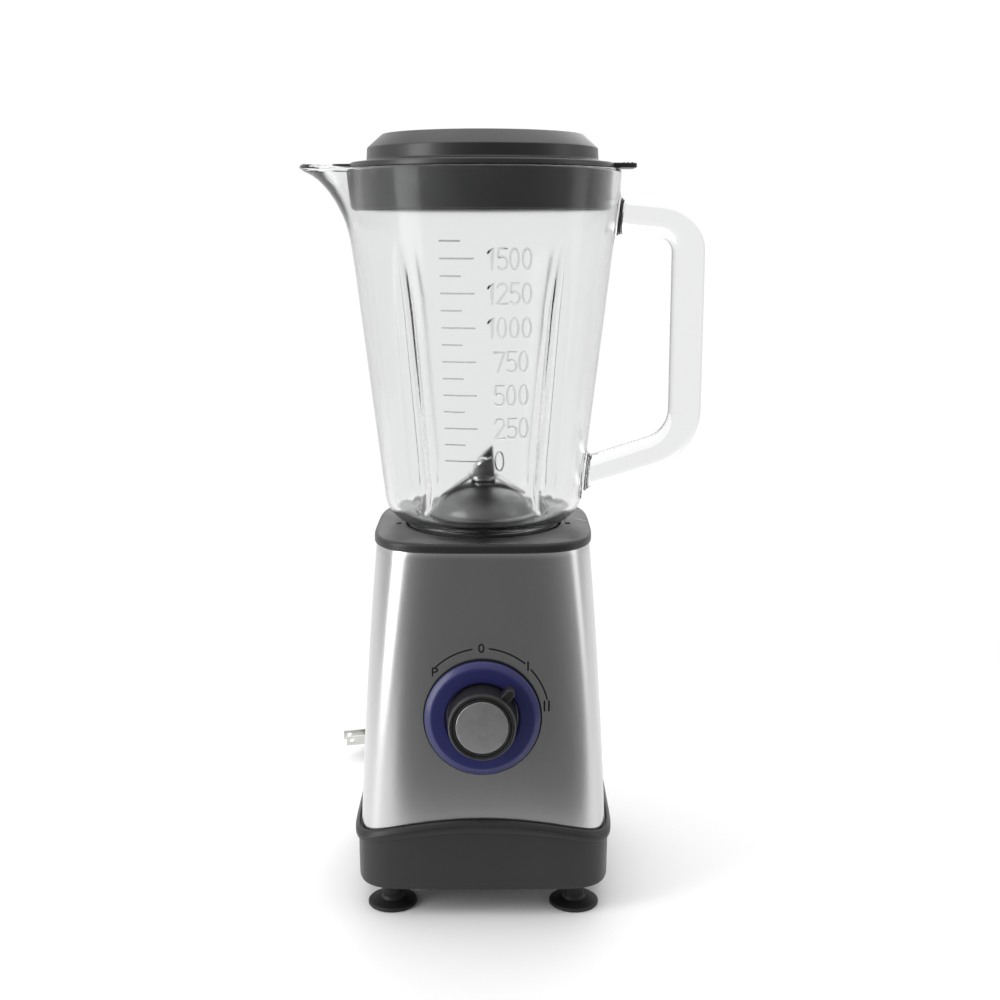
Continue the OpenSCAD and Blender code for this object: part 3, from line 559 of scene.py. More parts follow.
def make_lid():
    f = FLANGE_Z
    body = [
        (25.2, LID_TOP - 16), (25.2, LID_TOP - 2.6), (30.2, LID_TOP - 2.6), (30.2, LID_TOP),
        (54.2, LID_TOP), (62.3, LID_TOP - 7.2), (62.7, f + 3.9), (71.4, f + 3.0), (72.0, f),
        (67.8, f), (67.8, f - 22), (65.2, f - 22), (60.4, f), (60.4, LID_TOP - 9.4),
        (53.4, LID_TOP - 3), (32, LID_TOP - 3), (32, LID_TOP - 5), (27.4, LID_TOP - 5),
        (27.4, LID_TOP - 16)]
    radii = [0.4, 0.3, 0.3, 0.5, 1.6, 1.2, 1.6, 1.0, 0.5, 0.3, 0.8, 0.8, 1.5, 2, 1.5, 0.3, 0.5,
             0.8, 0.4]
    lid = lathe("lid_shell", rounded(body, radii, 5), 160)
    tab = lid_plate("tab", 83.3, 14, f + 0.4, 2.6, 4.0, 1)
    tongue = lid_plate("tongue", 81, 11, f + 0.3, 2.2, 4.0, -1)
    grips = []
    for i in range(3):
        x = 76.0 + 2.2 * i
        outline = rounded(box(x - 0.5, -8, x + 0.5, 8), 0.45, 3)
        grips.append(slab("grip", outline, f + 2.4, f + 3.5, 0.35))
    combine(lid, [tab, tongue] + grips)
    dress(lid, "lid", "lid", ["lid"], 30)

    def dish(angle, r, z):
        """Two finger recesses in the cap's top, with a bar left between them."""
        if z < LID_TOP - 0.05 or r > 24:
            return r, z
        across = abs(r * sin(angle))
        edge = min(1.0, max(0.0, (across - 3.6) / 2.2)) * min(1.0, max(0.0, (23 - r) / 3.0))
        edge = edge * edge * (3 - 2 * edge)
        return r, z - 1.5 * edge

    top = [(24.5 - 24.5 * i / 40, LID_TOP) for i in range(41)]
    under = [(0, LID_TOP - 3.2), (21.5, LID_TOP - 3.2), (22.6, LID_TOP - 4.4),
             (22.6, LID_TOP - 15), (24.8, LID_TOP - 15), (24.8, LID_TOP - 2.6),
             (29.3, LID_TOP - 2.4), (29.8, LID_TOP - 2.4)]
    profile = under + arc(28.9, LID_TOP - 0.9, 0.9, 0, 90, 4) + [(27, LID_TOP)] + top
    cap = lathe("filler_cap_shell", profile, 144, wobble=dish)
    dress(cap, "lid", "cap", ["filler_cap"], 30)


# ---- Jar ----

FLUTE_AT = [radians(a) for a in (52.5, 127.5, 232.5, 307.5)]
FLUTE_FOOT, FLUTE_FULL, FLUTE_EASE, FLUTE_HEAD = 221.0, 236, 330, 366.0
SPOUT_REACH = 27.0


def flute_width(z):
    """Half width of a flute: a round foot, a slow taper, and a pointed head."""
    if z <= FLUTE_FOOT or z >= FLUTE_HEAD:
        return 0.0
    if z < FLUTE_FULL:
        return 7.0 * sqrt(1 - ((FLUTE_FULL - z) / (FLUTE_FULL - FLUTE_FOOT)) ** 2)
    if z < FLUTE_EASE:
        return 7.0 - 1.6 * (z - FLUTE_FULL) / (FLUTE_EASE - FLUTE_FULL)
    return 5.4 * ((FLUTE_HEAD - z) / (FLUTE_HEAD - FLUTE_EASE)) ** 0.7


def angle_gap(a, b):
    return (a - b + pi) % TAU - pi


def flute_sink(angle, r, z, extra, soft):
    """How far a flute draws the wall in; extra widens it, soft rounds its edges."""
    w = flute_width(z)
    if w < 0.05:
        return 0.0
    depth = 0.39 * w
    w += extra
    best = min(abs(angle_gap(angle, c)) for c in FLUTE_AT) * r
    if best >= w:
        return 0.0
    u = 1 - (best / w) ** 2
    return depth * (u * u if soft else u ** 1.25)


def jar_angles():
    """Angles round the jar, closer together at the flutes and the spout."""
    marks = []
    a = 0.0
    while a < 359.99:
        near = min(abs(degrees(angle_gap(radians(a), c))) for c in FLUTE_AT)
        step = 0.75 if near < 9 else 2.5
        if abs(a - 180) < 32:
            step = min(step, 1.6)
        marks.append(radians(a))
        a += step
    return marks


STRAIGHT = (232, 236, 240, 244, 248, 253, 258, 264, 271, 278, 286, 294, 302, 310, 318, 325, 330,
            334, 338, 342, 346, 350)


def upper_r(z):
    """Outer radius near the rim, where the wall turns nearly upright."""
    return jar_r(z) if z < 390 else 74.656 + (z - 390) * 0.05


def wall_stations():
    """Stations of the wall from the shoulder up over the rim and down inside: radius, height, and
    the place that the same station takes in the middle of the spout."""
    out = [(jar_r(z), z, None, None) for z in STRAIGHT]
    upper = [(354, 70.6, 354), (358, 71.1, 358), (362, 71.7, 362), (366, 72.4, 366),
             (370, 73.3, 370), (374, 74.5, 374), (378, 76.1, 378), (382, 78.1, 382),
             (385.5, 80.3, 386), (388.5, 82.7, 389.6), (391.5, 85.2, 392.8), (394, 87.8, 395.6),
             (396.5, 90.4, 397.9), (398.5, 92.8, 399.6), (400, 95.0, 400.8), (400.8, 96.9, 401.6)]
    out += [(upper_r(z), z, sr, sz) for z, sr, sz in upper]
    for i in range(9):
        a = radians(180 * i / 8)
        out.append((73.4 + 1.8 * cos(a), 401.0 + 1.8 * sin(a),
                    97.2 + 2.1 * cos(a), 403.6 + 2.1 * sin(a)))
    lower = [(400, 93.4, 403.2), (398.5, 91.0, 402.0), (396.5, 88.4, 400.4), (394, 85.8, 398.3),
             (391.5, 83.1, 395.8), (388.5, 80.4, 392.8), (385.5, 77.9, 389.4), (382, 75.5, 385.6),
             (378, 73.2, 381.2), (374, 71.4, 376.8), (370, 70.0, 372.2), (366, 69.0, 367.6),
             (362, 68.2, 363), (358, 67.6, 358.6), (354, 67.0, 354.2)]
    out += [(upper_r(z) - GLASS, z, sr, sz) for z, sr, sz in lower]
    return out + [(jar_r(z) - GLASS, z, None, None) for z in reversed(STRAIGHT)]


def make_jar_wall():
    angles = jar_angles()
    shoulder = arc(SHOULDER_X, SHOULDER_Z, SHOULDER_R, -90, -degrees(FLARE_ANGLE), 16)
    inner = arc(SHOULDER_X, SHOULDER_Z, SHOULDER_R - GLASS, -degrees(FLARE_ANGLE), -90, 14)
    stations = [(NECK_BORE, NECK_Z + 1, 0), (NECK_BORE + 1, NECK_Z, 0), (NECK_R - 1, NECK_Z, 0),
                (NECK_R, NECK_Z + 1, 0), (NECK_R, 200, 0), (NECK_R, FLOOR_Z - 1, 0),
                (NECK_R + 0.4, FLOOR_Z, 0)]
    stations += [(r, z, 1) for r, z in shoulder[1:]]
    wall = wall_stations()
    top = len(wall) // 2

    def ring(r, z, kind, spout=(None, None)):
        """Ring of the wall; kind is 1 outside and 2 inside, where the flutes draw it in."""
        out = []
        for a in angles:
            rr, zz = r, z
            off = abs(degrees(angle_gap(a, pi))) / SPOUT_REACH
            if spout[0] is not None and off < 1:
                k = (1 - off * off) ** 2
                rr, zz = r + (spout[0] - r) * k, z + (spout[1] - z) * k
            if kind == 1:
                rr -= flute_sink(a, r, z, 0.0, False)
            elif kind == 2:
                rr -= flute_sink(a, r + GLASS, z, 3.4, True)
            out.append((rr * cos(a), rr * sin(a), zz))
        return out

    rings = [ring(r, z, kind) for r, z, kind in stations]
    rings += [ring(r, z, 1 if i < top else 2, (sr, sz)) for i, (r, z, sr, sz) in enumerate(wall)]
    rings += [ring(r, z, 2 if z > FLUTE_FOOT else 0) for r, z in inner]
    rings += [ring(r, z, 0) for r, z in ((NECK_BORE + 0.8, FLOOR_Z + GLASS),
                                         (NECK_BORE, FLOOR_Z + GLASS - 0.8), (NECK_BORE, 200))]
    return loft("glass_jar_shell", rings, closed=True)


HANDLE_X = 112.7


def handle_line():
    """Middle line of the handle in the XZ plane."""
    a, b, c, d = (74.2, 377.9), (HANDLE_X, 374.2), (HANDLE_X, 253.2), (60, 236.7)

    def corner(a, b, c, r, steps):
        u, v = (Vector(b) - Vector(a)).normalized(), (Vector(c) - Vector(b)).normalized()
        turn = atan2(u.x * v.y - u.y * v.x, u.dot(v))
        side = 1 if turn > 0 else -1
        start = Vector(b) - u * r * tan(abs(turn) / 2)
        mid = start + Vector((-u.y, u.x)) * r * side
        first = atan2(u.y, u.x) - pi / 2 * side
        return [(mid.x + r * cos(first + turn * i / steps),
                 mid.y + r * sin(first + turn * i / steps)) for i in range(steps + 1)]

    return ([(80, 377.35), (88, 376.6)] + corner(a, b, c, 17, 14)
            + [(HANDLE_X, z) for z in range(345, 284, -15)] + corner(b, c, d, 26, 16)
            + [(84, 244.2), (74, 241.1)])


def make_handle():
    """Closed glass handle whose ends spread into fillets on the jar's wall."""
    line = handle_line()
    half_t, half_w, sides = 9.0, 7.6, 40
    section = [(half_t * signed_power(cos(TAU * i / sides), 0.72),
                half_w * signed_power(sin(TAU * i / sides), 0.72)) for i in range(sides)]
    rings = []
    for k, (x, z) in enumerate(line):
        a, b = line[max(k - 1, 0)], line[min(k + 1, len(line) - 1)]
        t = Vector((b[0] - a[0], b[1] - a[1])).normalized()
        n = Vector((-t.y, t.x))
        rings.append([(x + n.x * u, w, z + n.y * u) for u, w in section])

    def root(x, z, slope, side, grow, depth):
        """Ring depth outside the jar's wall, grown by grow; side is the way the section faces."""
        out = []
        for u, w in section:
            size = 1 + grow / hypot(u, w)
            zz = z + side * u * size
            r = jar_r(max(zz, 226)) + depth
            xx = sqrt(r * r - (w * size) ** 2)
            out.append((xx, w * size, zz + (xx - x) * slope))
        return out

    # Growth and depth of the rings of the fillet; the last ring lies inside the wall.
    fillet = 5.0
    spread = [(fillet * (1 - cos(t)), fillet * (1 - sin(t))) for t in quarter(6)] + [(fillet, -1.6)]
    head = [root(74, 377.9, -0.096, 1, g, d) for g, d in reversed(spread)]
    tail = [root(62, 237.4, 0.311, -1, g, d) for g, d in spread]
    return loft("handle", head + rings + tail)


# ---- Measuring scale ----

SCALE_Z, SCALE_STEP = 252.0, 8.75

# Pen strokes of the numerals the scale needs, in units of the numeral's height.
PEN = {
    "0": [[(0.27 + 0.21 * sin(TAU * i / 20), 0.5 + 0.5 * cos(TAU * i / 20)) for i in range(21)]],
    "1": [[(0.02, 0.74), (0.24, 1.0), (0.24, 0.0)]],
    "2": [[(0.05, 0.76)] + [(0.29 + 0.24 * cos(t), 0.76 + 0.24 * sin(t))
                            for t in [radians(180 - 200 * i / 10) for i in range(11)]]
          + [(0.04, 0.0), (0.56, 0.0)]],
    "5": [[(0.52, 1.0), (0.12, 1.0), (0.08, 0.56)]
          + [(0.28 + 0.26 * cos(t), 0.3 + 0.3 * sin(t))
             for t in [radians(125 - 265 * i / 14) for i in range(15)]]],
    "7": [[(0.04, 1.0), (0.55, 1.0), (0.22, 0.0)]],
}


def ribbon(points, half, low, high, place):
    """Raised stroke with rounded ends along points; place maps (x, y, height) to space."""
    pts = [Vector(p) for p in points]
    loop = (pts[0] - pts[-1]).length < 1e-4
    if loop:
        pts.pop()
    left, right = [], []
    for i, p in enumerate(pts):
        a = pts[i - 1] if loop else pts[max(i - 1, 0)]
        b = pts[(i + 1) % len(pts)] if loop else pts[min(i + 1, len(pts) - 1)]
        t = (b - a).normalized()
        if loop or 0 < i < len(pts) - 1:
            u, v = (p - a).normalized(), (b - p).normalized()
            k = half / max(0.45, cos(u.angle(v, 0) / 2))
        else:
            k = half
        n = Vector((-t.y, t.x)) * k
        left.append(p + n)
        right.append(p - n)

    def cut(l, r):
        """Section of the stroke between the points l and r of its sides."""
        row = []
        for s, h in [(1.0, low), (1.0, high * 0.55), (0.62, high), (-0.62, high),
                     (-1.0, high * 0.55), (-1.0, low)]:
            q = (l + r) / 2 + (l - r) / 2 * s
            row.append(place(q.x, q.y, h))
        return row

    def end(l, r, outwards, shares):
        """Rounded end beyond the sides' last points."""
        out = []
        for k in shares:
            d = (l - r) * 0.5 * k
            m = (l + r) / 2 + outwards * half * sqrt(1 - k * k)
            out.append(cut(m + d, m - d))
        return out

    if loop:
        return loft("stroke", [cut(l, r) for l, r in zip(left, right)], closed=True)
    first, last = (pts[0] - pts[1]).normalized(), (pts[-1] - pts[-2]).normalized()
    return loft("stroke", end(left[0], right[0], first, (0.35, 0.75))
                + [cut(l, r) for l, r in zip(left, right)]
                + end(left[-1], right[-1], last, (0.75, 0.35)))


def on_jar(x, z, h):
    """Point on the front of the jar's wall, h outside it."""
    r = jar_r(z) + h
    return (x, -sqrt(r * r - x * x), z)


def make_scale():
    """Raised marks, long and short by turns."""
    parts = []
    for i in range(14):
        z = SCALE_Z + SCALE_STEP * i
        start = -18.9 - 0.16 * i
        length = 10.2 if i % 2 else 16.8
        parts.append(ribbon([(start, z), (start + length * 0.5, z), (start + length, z)],
                            0.42, -0.3, 0.35, on_jar))
    dress(join("jar_scale", parts), "emboss", "jar", angle=50)


def numeral_strokes():
    """Raised numbers beside the long marks."""
    out = []
    size = 10.2
    for i, word in enumerate(("0", "250", "500", "750", "1000", "1250", "1500")):
        z = SCALE_Z + 2 * SCALE_STEP * i
        x = 6.3 - 0.1 * i if len(word) < 4 else 3.0
        for letter in word:
            for stroke in PEN[letter]:
                path = [(x + px * size, z - size * 0.5 + py * size) for px, py in stroke]
                out.append(ribbon(path, 0.55, -0.1, 0.55, on_jar))
            x += 4.6 if letter == "1" else 6.4
    return join("numerals", out)


def make_jar():
    jar = combine(make_jar_wall(), [make_handle()])
    dress(jar, "glass", "jar", ["glass_jar"], 50)
    dress(numeral_strokes(), "figures", "jar", angle=50)


# ---- Blade unit ----


def make_holder():
    flange, r, mid, top = WELL_Z + 2.0, 33.06, 198.42, 230.5
    profile = ([(38.2, flange), (38.2, NECK_Z - 1.8), (32.6, NECK_Z - 1.8), (32.6, 211.8),
                (32.3, 212.8), (31.2, 213.3), (30.0, 213.7), (29.2, 214.1)]
               + arc(0, mid, r, 30, 76.6, 30) + arc(7.2, top - 0.8, 0.8, 80, 0, 3)
               + [(7, 202.5), (9.2, 202.5), (9.2, top - 4)]
               + arc(0, mid, r - 2.2, 70, 34, 16) + [(30.2, 211), (30.2, flange)])
    holder = lathe("blade_holder_shell", profile, 160)
    dress(holder, "dome", "jar", ["blade_holder"], 34)


# Share of a wing's length, and its leading and trailing edge there as shares of its half width.
WING = ((0, -1, 1), (0.2, -0.9, 0.96), (0.42, -0.7, 0.92), (0.56, -0.48, 0.89),
        (0.68, -0.22, 0.865), (0.78, 0.0, 0.845), (0.86, 0.18, 0.83), (0.94, 0.45, 0.815),
        (0.995, 0.7, 0.8))
WING_ROOT, WING_BEND, WING_T = 3.0, 7, 1.5


def wing_section(y0, y1):
    """Section of a wing from its ground cutting edge at y0 to its back at y1."""
    ground = min(2.2, (y1 - y0) * 0.45)
    return [(y0 + 0.05, 0.12), (y0, 0.3), (y0 + ground, WING_T), (y1 - 0.25, WING_T),
            (y1, WING_T - 0.25), (y1, 0.25), (y1 - 0.25, 0.0), (y0 + 0.3, 0.0)]


def wing_mesh(length, half_w, bend):
    """One pointed wing that rises at bend degrees along X from the hub."""
    turn = radians(bend)
    rings = [[(WING_ROOT, y, z) for y, z in wing_section(-half_w, half_w)]]
    for share, lead, back in WING:
        x = length * share
        rings.append([(WING_BEND + x * cos(turn) - z * sin(turn),
                       y, x * sin(turn) + z * cos(turn))
                      for y, z in wing_section(half_w * lead, half_w * back)])
    return loft("wing", rings)


HUB_BORE = 4.0


def hub(z):
    return lathe("hub", rounded(box(HUB_BORE, z, 8.4, z + 1.5), [0.1, 0.3, 0.3, 0.1], 3), 64)


def make_blades():
    low_z, up_z = 233.6, 235.1
    # Each wing: how far it is turned, and -1 where it is the mirror image.
    specs = [("lower_blade", low_z, 20, 6.2, -33, [(0, 1), (180, 1)]),
             ("upper_blade", up_z, 17.8, 6.5, 46, [(-90, 1), (-90, -1)])]
    for name, z, length, half_w, bend, places in specs:
        wings = []
        for angle, side in places:
            w = wing_mesh(length, half_w, bend)
            w.data.transform(Matrix.Translation((0, 0, z * MM)) @ Matrix.Scale(side, 4, (0, 1, 0))
                             @ Matrix.Rotation(radians(angle), 4, "Z"))
            if side < 0:
                w.data.flip_normals()
            wings.append(w)
        blade = combine(combine(hub(z), wings), [rod(HUB_BORE, z - 2, z + 4, 64)], "DIFFERENCE")
        blade.name = name + "_shell"
        dress(blade, "blade", "blades", [name], 30)
    z = up_z + 1.5
    profile = ([(HUB_BORE, z + 0.2), (4.3, z), (5.9, z), (5.9, z + 3.4), (5.0, z + 3.5)]
               + arc(0, z + 3.4, 5.0, 4, 84, 10) + [(0, z + 8.4), (0, z + 4), (HUB_BORE, z + 4)])

    def six(angle, r, h):
        """Six flats on the lower part of the nut."""
        if r < 5.5 or h > z + 3.45:
            return r, h
        a = (angle % (TAU / 6)) - TAU / 12
        return min(r, 5.2 / cos(a)), h

    nut = lathe("cap_nut", profile, 96, wobble=six)
    dress(nut, "shaft", "blades", ["blade_nut"], 30)


# ---- Base ----


def ring_at(outline, z):
    return [(x, y, z) for x, y in outline]


def circle(r, count):
    return [(r * cos(TAU * i / count), r * sin(TAU * i / count)) for i in range(count)]


def make_plate():
    n = 160
    foot = BODY_TOP + 0.1

    def sq(half):
        return squircle(half, TOP_POWER, n)

    top = PLATE_Z
    rings = [ring_at(sq(half), z) for half, z in
             [(57.0, foot - 3.6), (57.0, foot), (PLATE_HALF - 0.35, foot),
              (PLATE_HALF, foot + 0.35), (PLATE_HALF, top - 2.0)]]
    rings += [ring_at(sq(PLATE_HALF - 2.0 * (1 - cos(a))), top - 2.0 * (1 - sin(a)))
              for a in quarter(6, 1)]
    between = [((p[0] + q[0]) / 2, (p[1] + q[1]) / 2) for p, q in zip(sq(54), circle(54, n))]
    rings.append(ring_at(between, top))
    rings += [ring_at(circle(r, n), z) for r, z in
              [(47.0, top), (46.4, top - 0.05), (46.1, top - 0.35), (45.3, top - 0.35),
               (45.0, top - 0.1), (44.7, top), (44.3, top - 0.15), (WELL_R, top - 0.5),
               (WELL_R, WELL_Z + 0.6), (WELL_R - 0.6, WELL_Z), (11.4, WELL_Z), (11, WELL_Z - 0.4),
               (11, WELL_Z - 2.4), (46, WELL_Z - 2.4), (46, foot - 3.6)]]
    rings.append(ring_at(sq(55.0), foot - 3.6))
    plate = loft("top_plate_shell", rings, closed=True)
    posts = []
    for x in (-38, 38):
        for y in (-38, 38):
            p = lathe("post", box(1.8, 166.4, 5, 201.5), 32)
            p.data.transform(Matrix.Translation((x * MM, y * MM, 0)))
            posts.append(p)
    combine(plate, posts)
    notches = []
    for x in (-47.6, 47.6):
        outline = rounded(box(x - 1.5, -8.5, x + 1.5, -4.5), 1.2, 4)
        notches.append(slab("notch", outline, top - 0.8, top + 1, 0.1))
    combine(plate, notches, "DIFFERENCE")
    dress(plate, "plate", "base", ["top_plate"], 40)
    line = ribbon([(52.3, 6.8), (55.3, 3.15), (58.3, -0.5)], 0.35, -0.05, 0.06,
                  lambda x, y, h: (x, y, top + h))
    line.name = "lock_mark"
    dress(line, "ivory", "base")


def make_housing():
    heights = [BODY_FOOT + (BODY_TOP - BODY_FOOT) * i / 36 for i in range(37)]
    # Each ring: the section's height, how far it is grown, and the height it lies at.
    levels = [(BODY_FOOT, -0.4, BODY_FOOT)]
    levels += [(z, 0, z) for z in [BODY_FOOT + 0.4] + heights[1:-1] + [BODY_TOP - 0.5]]
    levels += [(BODY_TOP, -0.15, BODY_TOP - 0.15), (BODY_TOP, -0.5, BODY_TOP)]
    levels += [(z, -STEEL, z) for z in reversed(heights)]
    rings = [ring_at(body_section(at, grow), z) for at, grow, z in levels]
    shell = loft("steel_housing_shell", rings, closed=True)
    bore = rod(5.2, -25, 12)
    bore.data.transform(dial_matrix())
    combine(shell, [bore], "DIFFERENCE")
    dress(shell, "steel", "base", ["steel_housing"], 40)


def make_skirt():
    n = 288
    params = corner_params(n)

    def row(half, height):
        """Ring whose height may follow the wave."""
        return [(x, y, height(x)) for x, y in squircle(half, FOOT_POWER, n)]

    def flat(z):
        return lambda x: z

    def inner(grow, drop):
        """Ring beside the steel, just under the wavy edge."""
        heights = [wave_z(x) - drop for x, _ in squircle(69.4, FOOT_POWER, n)]
        return [(*section_point(z, grow, c, s), z) for (c, s), z in zip(params, heights)]

    def band_bottom(x):
        """Height of the band's lower edge, which waves a little less than the upper one."""
        return wave_z(x) - BAND_H * (1 - 0.2 * wave_share(x))

    rings = [row(66.3, flat(16.3)), row(66.7, flat(FOOT_H)), row(68.4, flat(FOOT_H))]
    rings += [row(68.4 + 1.55 * sin(a), flat(FOOT_H + 1.8 * (1 - cos(a)))) for a in quarter(5, 1)]
    # The wall between the rounded foot and the band.
    for k in range(1, 9):
        t = k / 8
        rings.append(row(69.95 + 0.25 * t, lambda x, t=t: 17.8 + (band_bottom(x) - 17.8) * t))
    for half, rise in [(70.3, 0.02), (71.1, 0), (71.45, 0.1), (71.7, 0.35), (BAND_HALF, 0.7)]:
        rings.append(row(half, lambda x, d=rise: band_bottom(x) + d))
    for half, drop in [(BAND_HALF, 2.9), (71.72, 2.5), (71.5, 2.2), (70.6, 0.75), (70.4, 0.5),
                       (70.1, 0.35)]:
        rings.append(row(half, lambda x, d=drop: wave_z(x) - d))
    top = inner(1.0, 0.3)
    low = [(*section_point(46.2, 0.45, c, s), 46.2) for c, s in params]
    halfway = [tuple((p + q) / 2 for p, q in zip(a, b)) for a, b in zip(top, low)]
    rings += [inner(1.3, 0), top, halfway, low]
    rings += [row(65.8, flat(45.9)), row(65.8, flat(44.0)), row(66.1, flat(44.0))]
    skirt = loft("base_skirt_shell", rings, closed=True)
    hole = rod(6.5, 55, 80)
    hole.data.transform(Matrix.Translation((0.030, 0, 0.030))
                        @ Matrix.Rotation(radians(-90), 4, "X"))
    combine(skirt, [hole], "DIFFERENCE")
    dress(skirt, "skirt", "base", ["base_skirt"], 40)


# ---- Dial ----


def make_dial():
    f = RING_FACE
    m = dial_matrix()
    profile = rounded([(19.4, -1.2), (RING_R, -1.2), (RING_R, 1.3), (RING_R - 0.8, 1.4),
                       (RING_R - 0.9, 3.2), (RING_R - 4.2, f), (20.6, f - 0.5), (19.4, f - 1.4)],
                      [0, 0, 0.2, 0.1, 1.6, 3.0, 0.5, 0.4], 6)
    ring = lathe("dial_ring_shell", profile, 160, m)
    ring.data.materials.append(M["navy"])
    ring.data.materials.append(M["print"])
    for p in ring.data.polygons:
        # The ring's lip next to the steel takes the black ink as painted shade, standing in for the
        # shadow in the gap between ring and steel.
        if hypot(p.center.x, p.center.y) > (RING_R - 0.84) * MM and p.center.z < 1.6 * MM:
            p.material_index = 1
    dress(ring, None, "base", ["dial_ring"], 30)

    h, r = KNOB_H, KNOB_R
    body = rounded([(0, 4), (5.5, 4), (5.5, 17), (15.4, 17), (16.4, 1.5), (18.7, 1.5),
                    (r + 0.3, h - 1.6), (r - 0.5, h), (r - 1.6, h), (r - 1.9, h - 0.9),
                    (r - 2.4, h - 0.9), (r - 2.7, h - 0.2), (14.3, h - 0.2), (14.0, h - 1.6),
                    (0, h - 1.6)],
                   [0, 0.3, 0.5, 0.5, 0.4, 0.4, 0.8, 0.5, 0.25, 0.15, 0.15, 0.25, 0.3, 0.2, 0], 4)
    knob = lathe("knob_shell", body, 160)
    outline = [(-2.5, 15.8), (2.5, 15.8)] + arc(0, 22.4, 2.5, 0, 180, 12)
    nub = slab("nub", outline, 6.3, 16.5, 0.9)
    nub.data.transform(Matrix.Rotation(radians(-POINTER), 4, "Z"))
    combine(knob, [nub])
    combine(knob, [rod(3.0, -5, 16)], "DIFFERENCE")
    knob.matrix_world = m
    dress(knob, "knob", "knob", ["knob"], 30)
    face = rounded(box(0, h - 1.6, 13.85, h - 0.15), [0, 0.1, 0.35, 0], 4)
    disc = lathe("knob_disc_shell", face, 128, m)
    dress(disc, "disc", "knob", ["knob_disc"], 30)


def make_marks():
    """P, 0, I and II printed on the steel round the dial, and the arcs between them."""

    def on_steel(x, z, h):
        return (x, front_y(x, z) - h, z)

    def stroke(points, half):
        return ribbon(points, half * 1.35, -0.02, 0.14, on_steel)

    parts = []

    def letter(paths, x, z, w, tall, half=0.3):
        for path in paths:
            points = [(x + (px - 0.5) * w, z + (py - 0.5) * tall) for px, py in path]
            parts.append(stroke(points, half))

    zero = [(0.5 + 0.5 * sin(TAU * i / 24), 0.5 + 0.5 * cos(TAU * i / 24)) for i in range(25)]
    letter([zero], -0.6, DIAL_Z + 37.7, 2.6, 4.2)
    letter([[(0, 0), (0, 0.5), (0, 1.0)],
            [(0, 1.0), (0.5, 1.0), (0.85, 0.94), (1.0, 0.76), (0.85, 0.56), (0.5, 0.48),
             (0, 0.48)]],
           -25.4, DIAL_Z + 24.7, 2.7, 4.1)
    letter([[(0.5, 0), (0.5, 0.5), (0.5, 1)]], 24.4, DIAL_Z + 27.9, 1.0, 4.3, 0.34)
    letter([[(0.0, 0), (0.0, 0.5), (0.0, 1)], [(1.0, 0), (1.0, 0.5), (1.0, 1)]],
           34.5, DIAL_Z + 5.9, 2.4, 5.2, 0.34)
    for a0, a1, r0, r1 in ((-42.3, -8.7, 37.1, 37.5), (5.6, 37.6, 37.6, 37.1),
                           (45, 74.4, 36.7, 36.0)):
        path = []
        for i in range(15):
            a = radians(a0 + (a1 - a0) * i / 14)
            r = r0 + (r1 - r0) * i / 14
            path.append((r * sin(a), DIAL_Z + r * cos(a)))
        parts.append(stroke(path, 0.3))
    dress(join("dial_marks", parts), "print", "base", angle=50)


# ---- Cord and plug ----


def plug_matrix():
    return (Matrix.Translation((-84.6 * MM, 173.9 * MM, 12.5 * MM))
            @ Matrix.Rotation(radians(15), 4, "Z"))


def make_plug():
    def block(x, half_y, low, high, r):
        """Rounded rectangle across the plug's length."""
        return [(x, y, z) for y, z in rounded(box(-half_y, low, half_y, high), r, 7)]

    rings = [block(*sizes) for sizes in (
        (0.0, 12.3, -11.3, 11.7, 3.4), (0.35, 12.8, -11.8, 12.2, 3.8),
        (0.9, 13.0, -12.0, 12.4, 4.0), (3.9, 13.0, -12.0, 12.4, 4.0),
        (4.6, 12.6, -11.7, 12.0, 4.0), (5.4, 11.2, -10.6, 10.8, 4.0), (6.4, 10.4, -9.9, 9.9, 4.0),
        (14, 10.1, -9.7, 9.7, 4.4), (20, 9.6, -9.3, 9.3, 5.0), (23.4, 8.4, -8.2, 8.2, 6.0))]
    # Six ribs of the plug's own strain relief, each a little smaller.
    for k in range(6):
        for dx, dr in ((0.0, 0.0), (0.35, 0.15), (1.25, 0.15), (1.6, -0.05), (1.75, -0.9),
                       (2.15, -0.95)):
            r = 7.4 - 0.62 * k + dr
            rings.append(block(24.2 + 2.25 * k + dx, r - 0.15, -r + 0.15, r - 0.15, r - 0.4))
    rings.append(block(37.9, 3.6, -3.6, 3.6, 3.4))
    body = loft("plug_shell", rings, plug_matrix())
    slots = []
    for y in (-6.35, 6.35):
        pts = box(y - 0.8, -3.2, y + 0.8, 3.2)
        ends = [[(x, py, pz) for py, pz in pts] for x in (-2, 4)]
        slots.append(loft("slot", ends, plug_matrix()))
    world = body.matrix_world.copy()
    for ob in [body] + slots:
        apply_matrix(ob)
    combine(body, slots, "DIFFERENCE")
    body.data.transform(world.inverted())
    body.matrix_world = world
    dress(body, "cord", "base", ["plug_body"], 30)
    return body


COIL = (-6.0, 156.0)


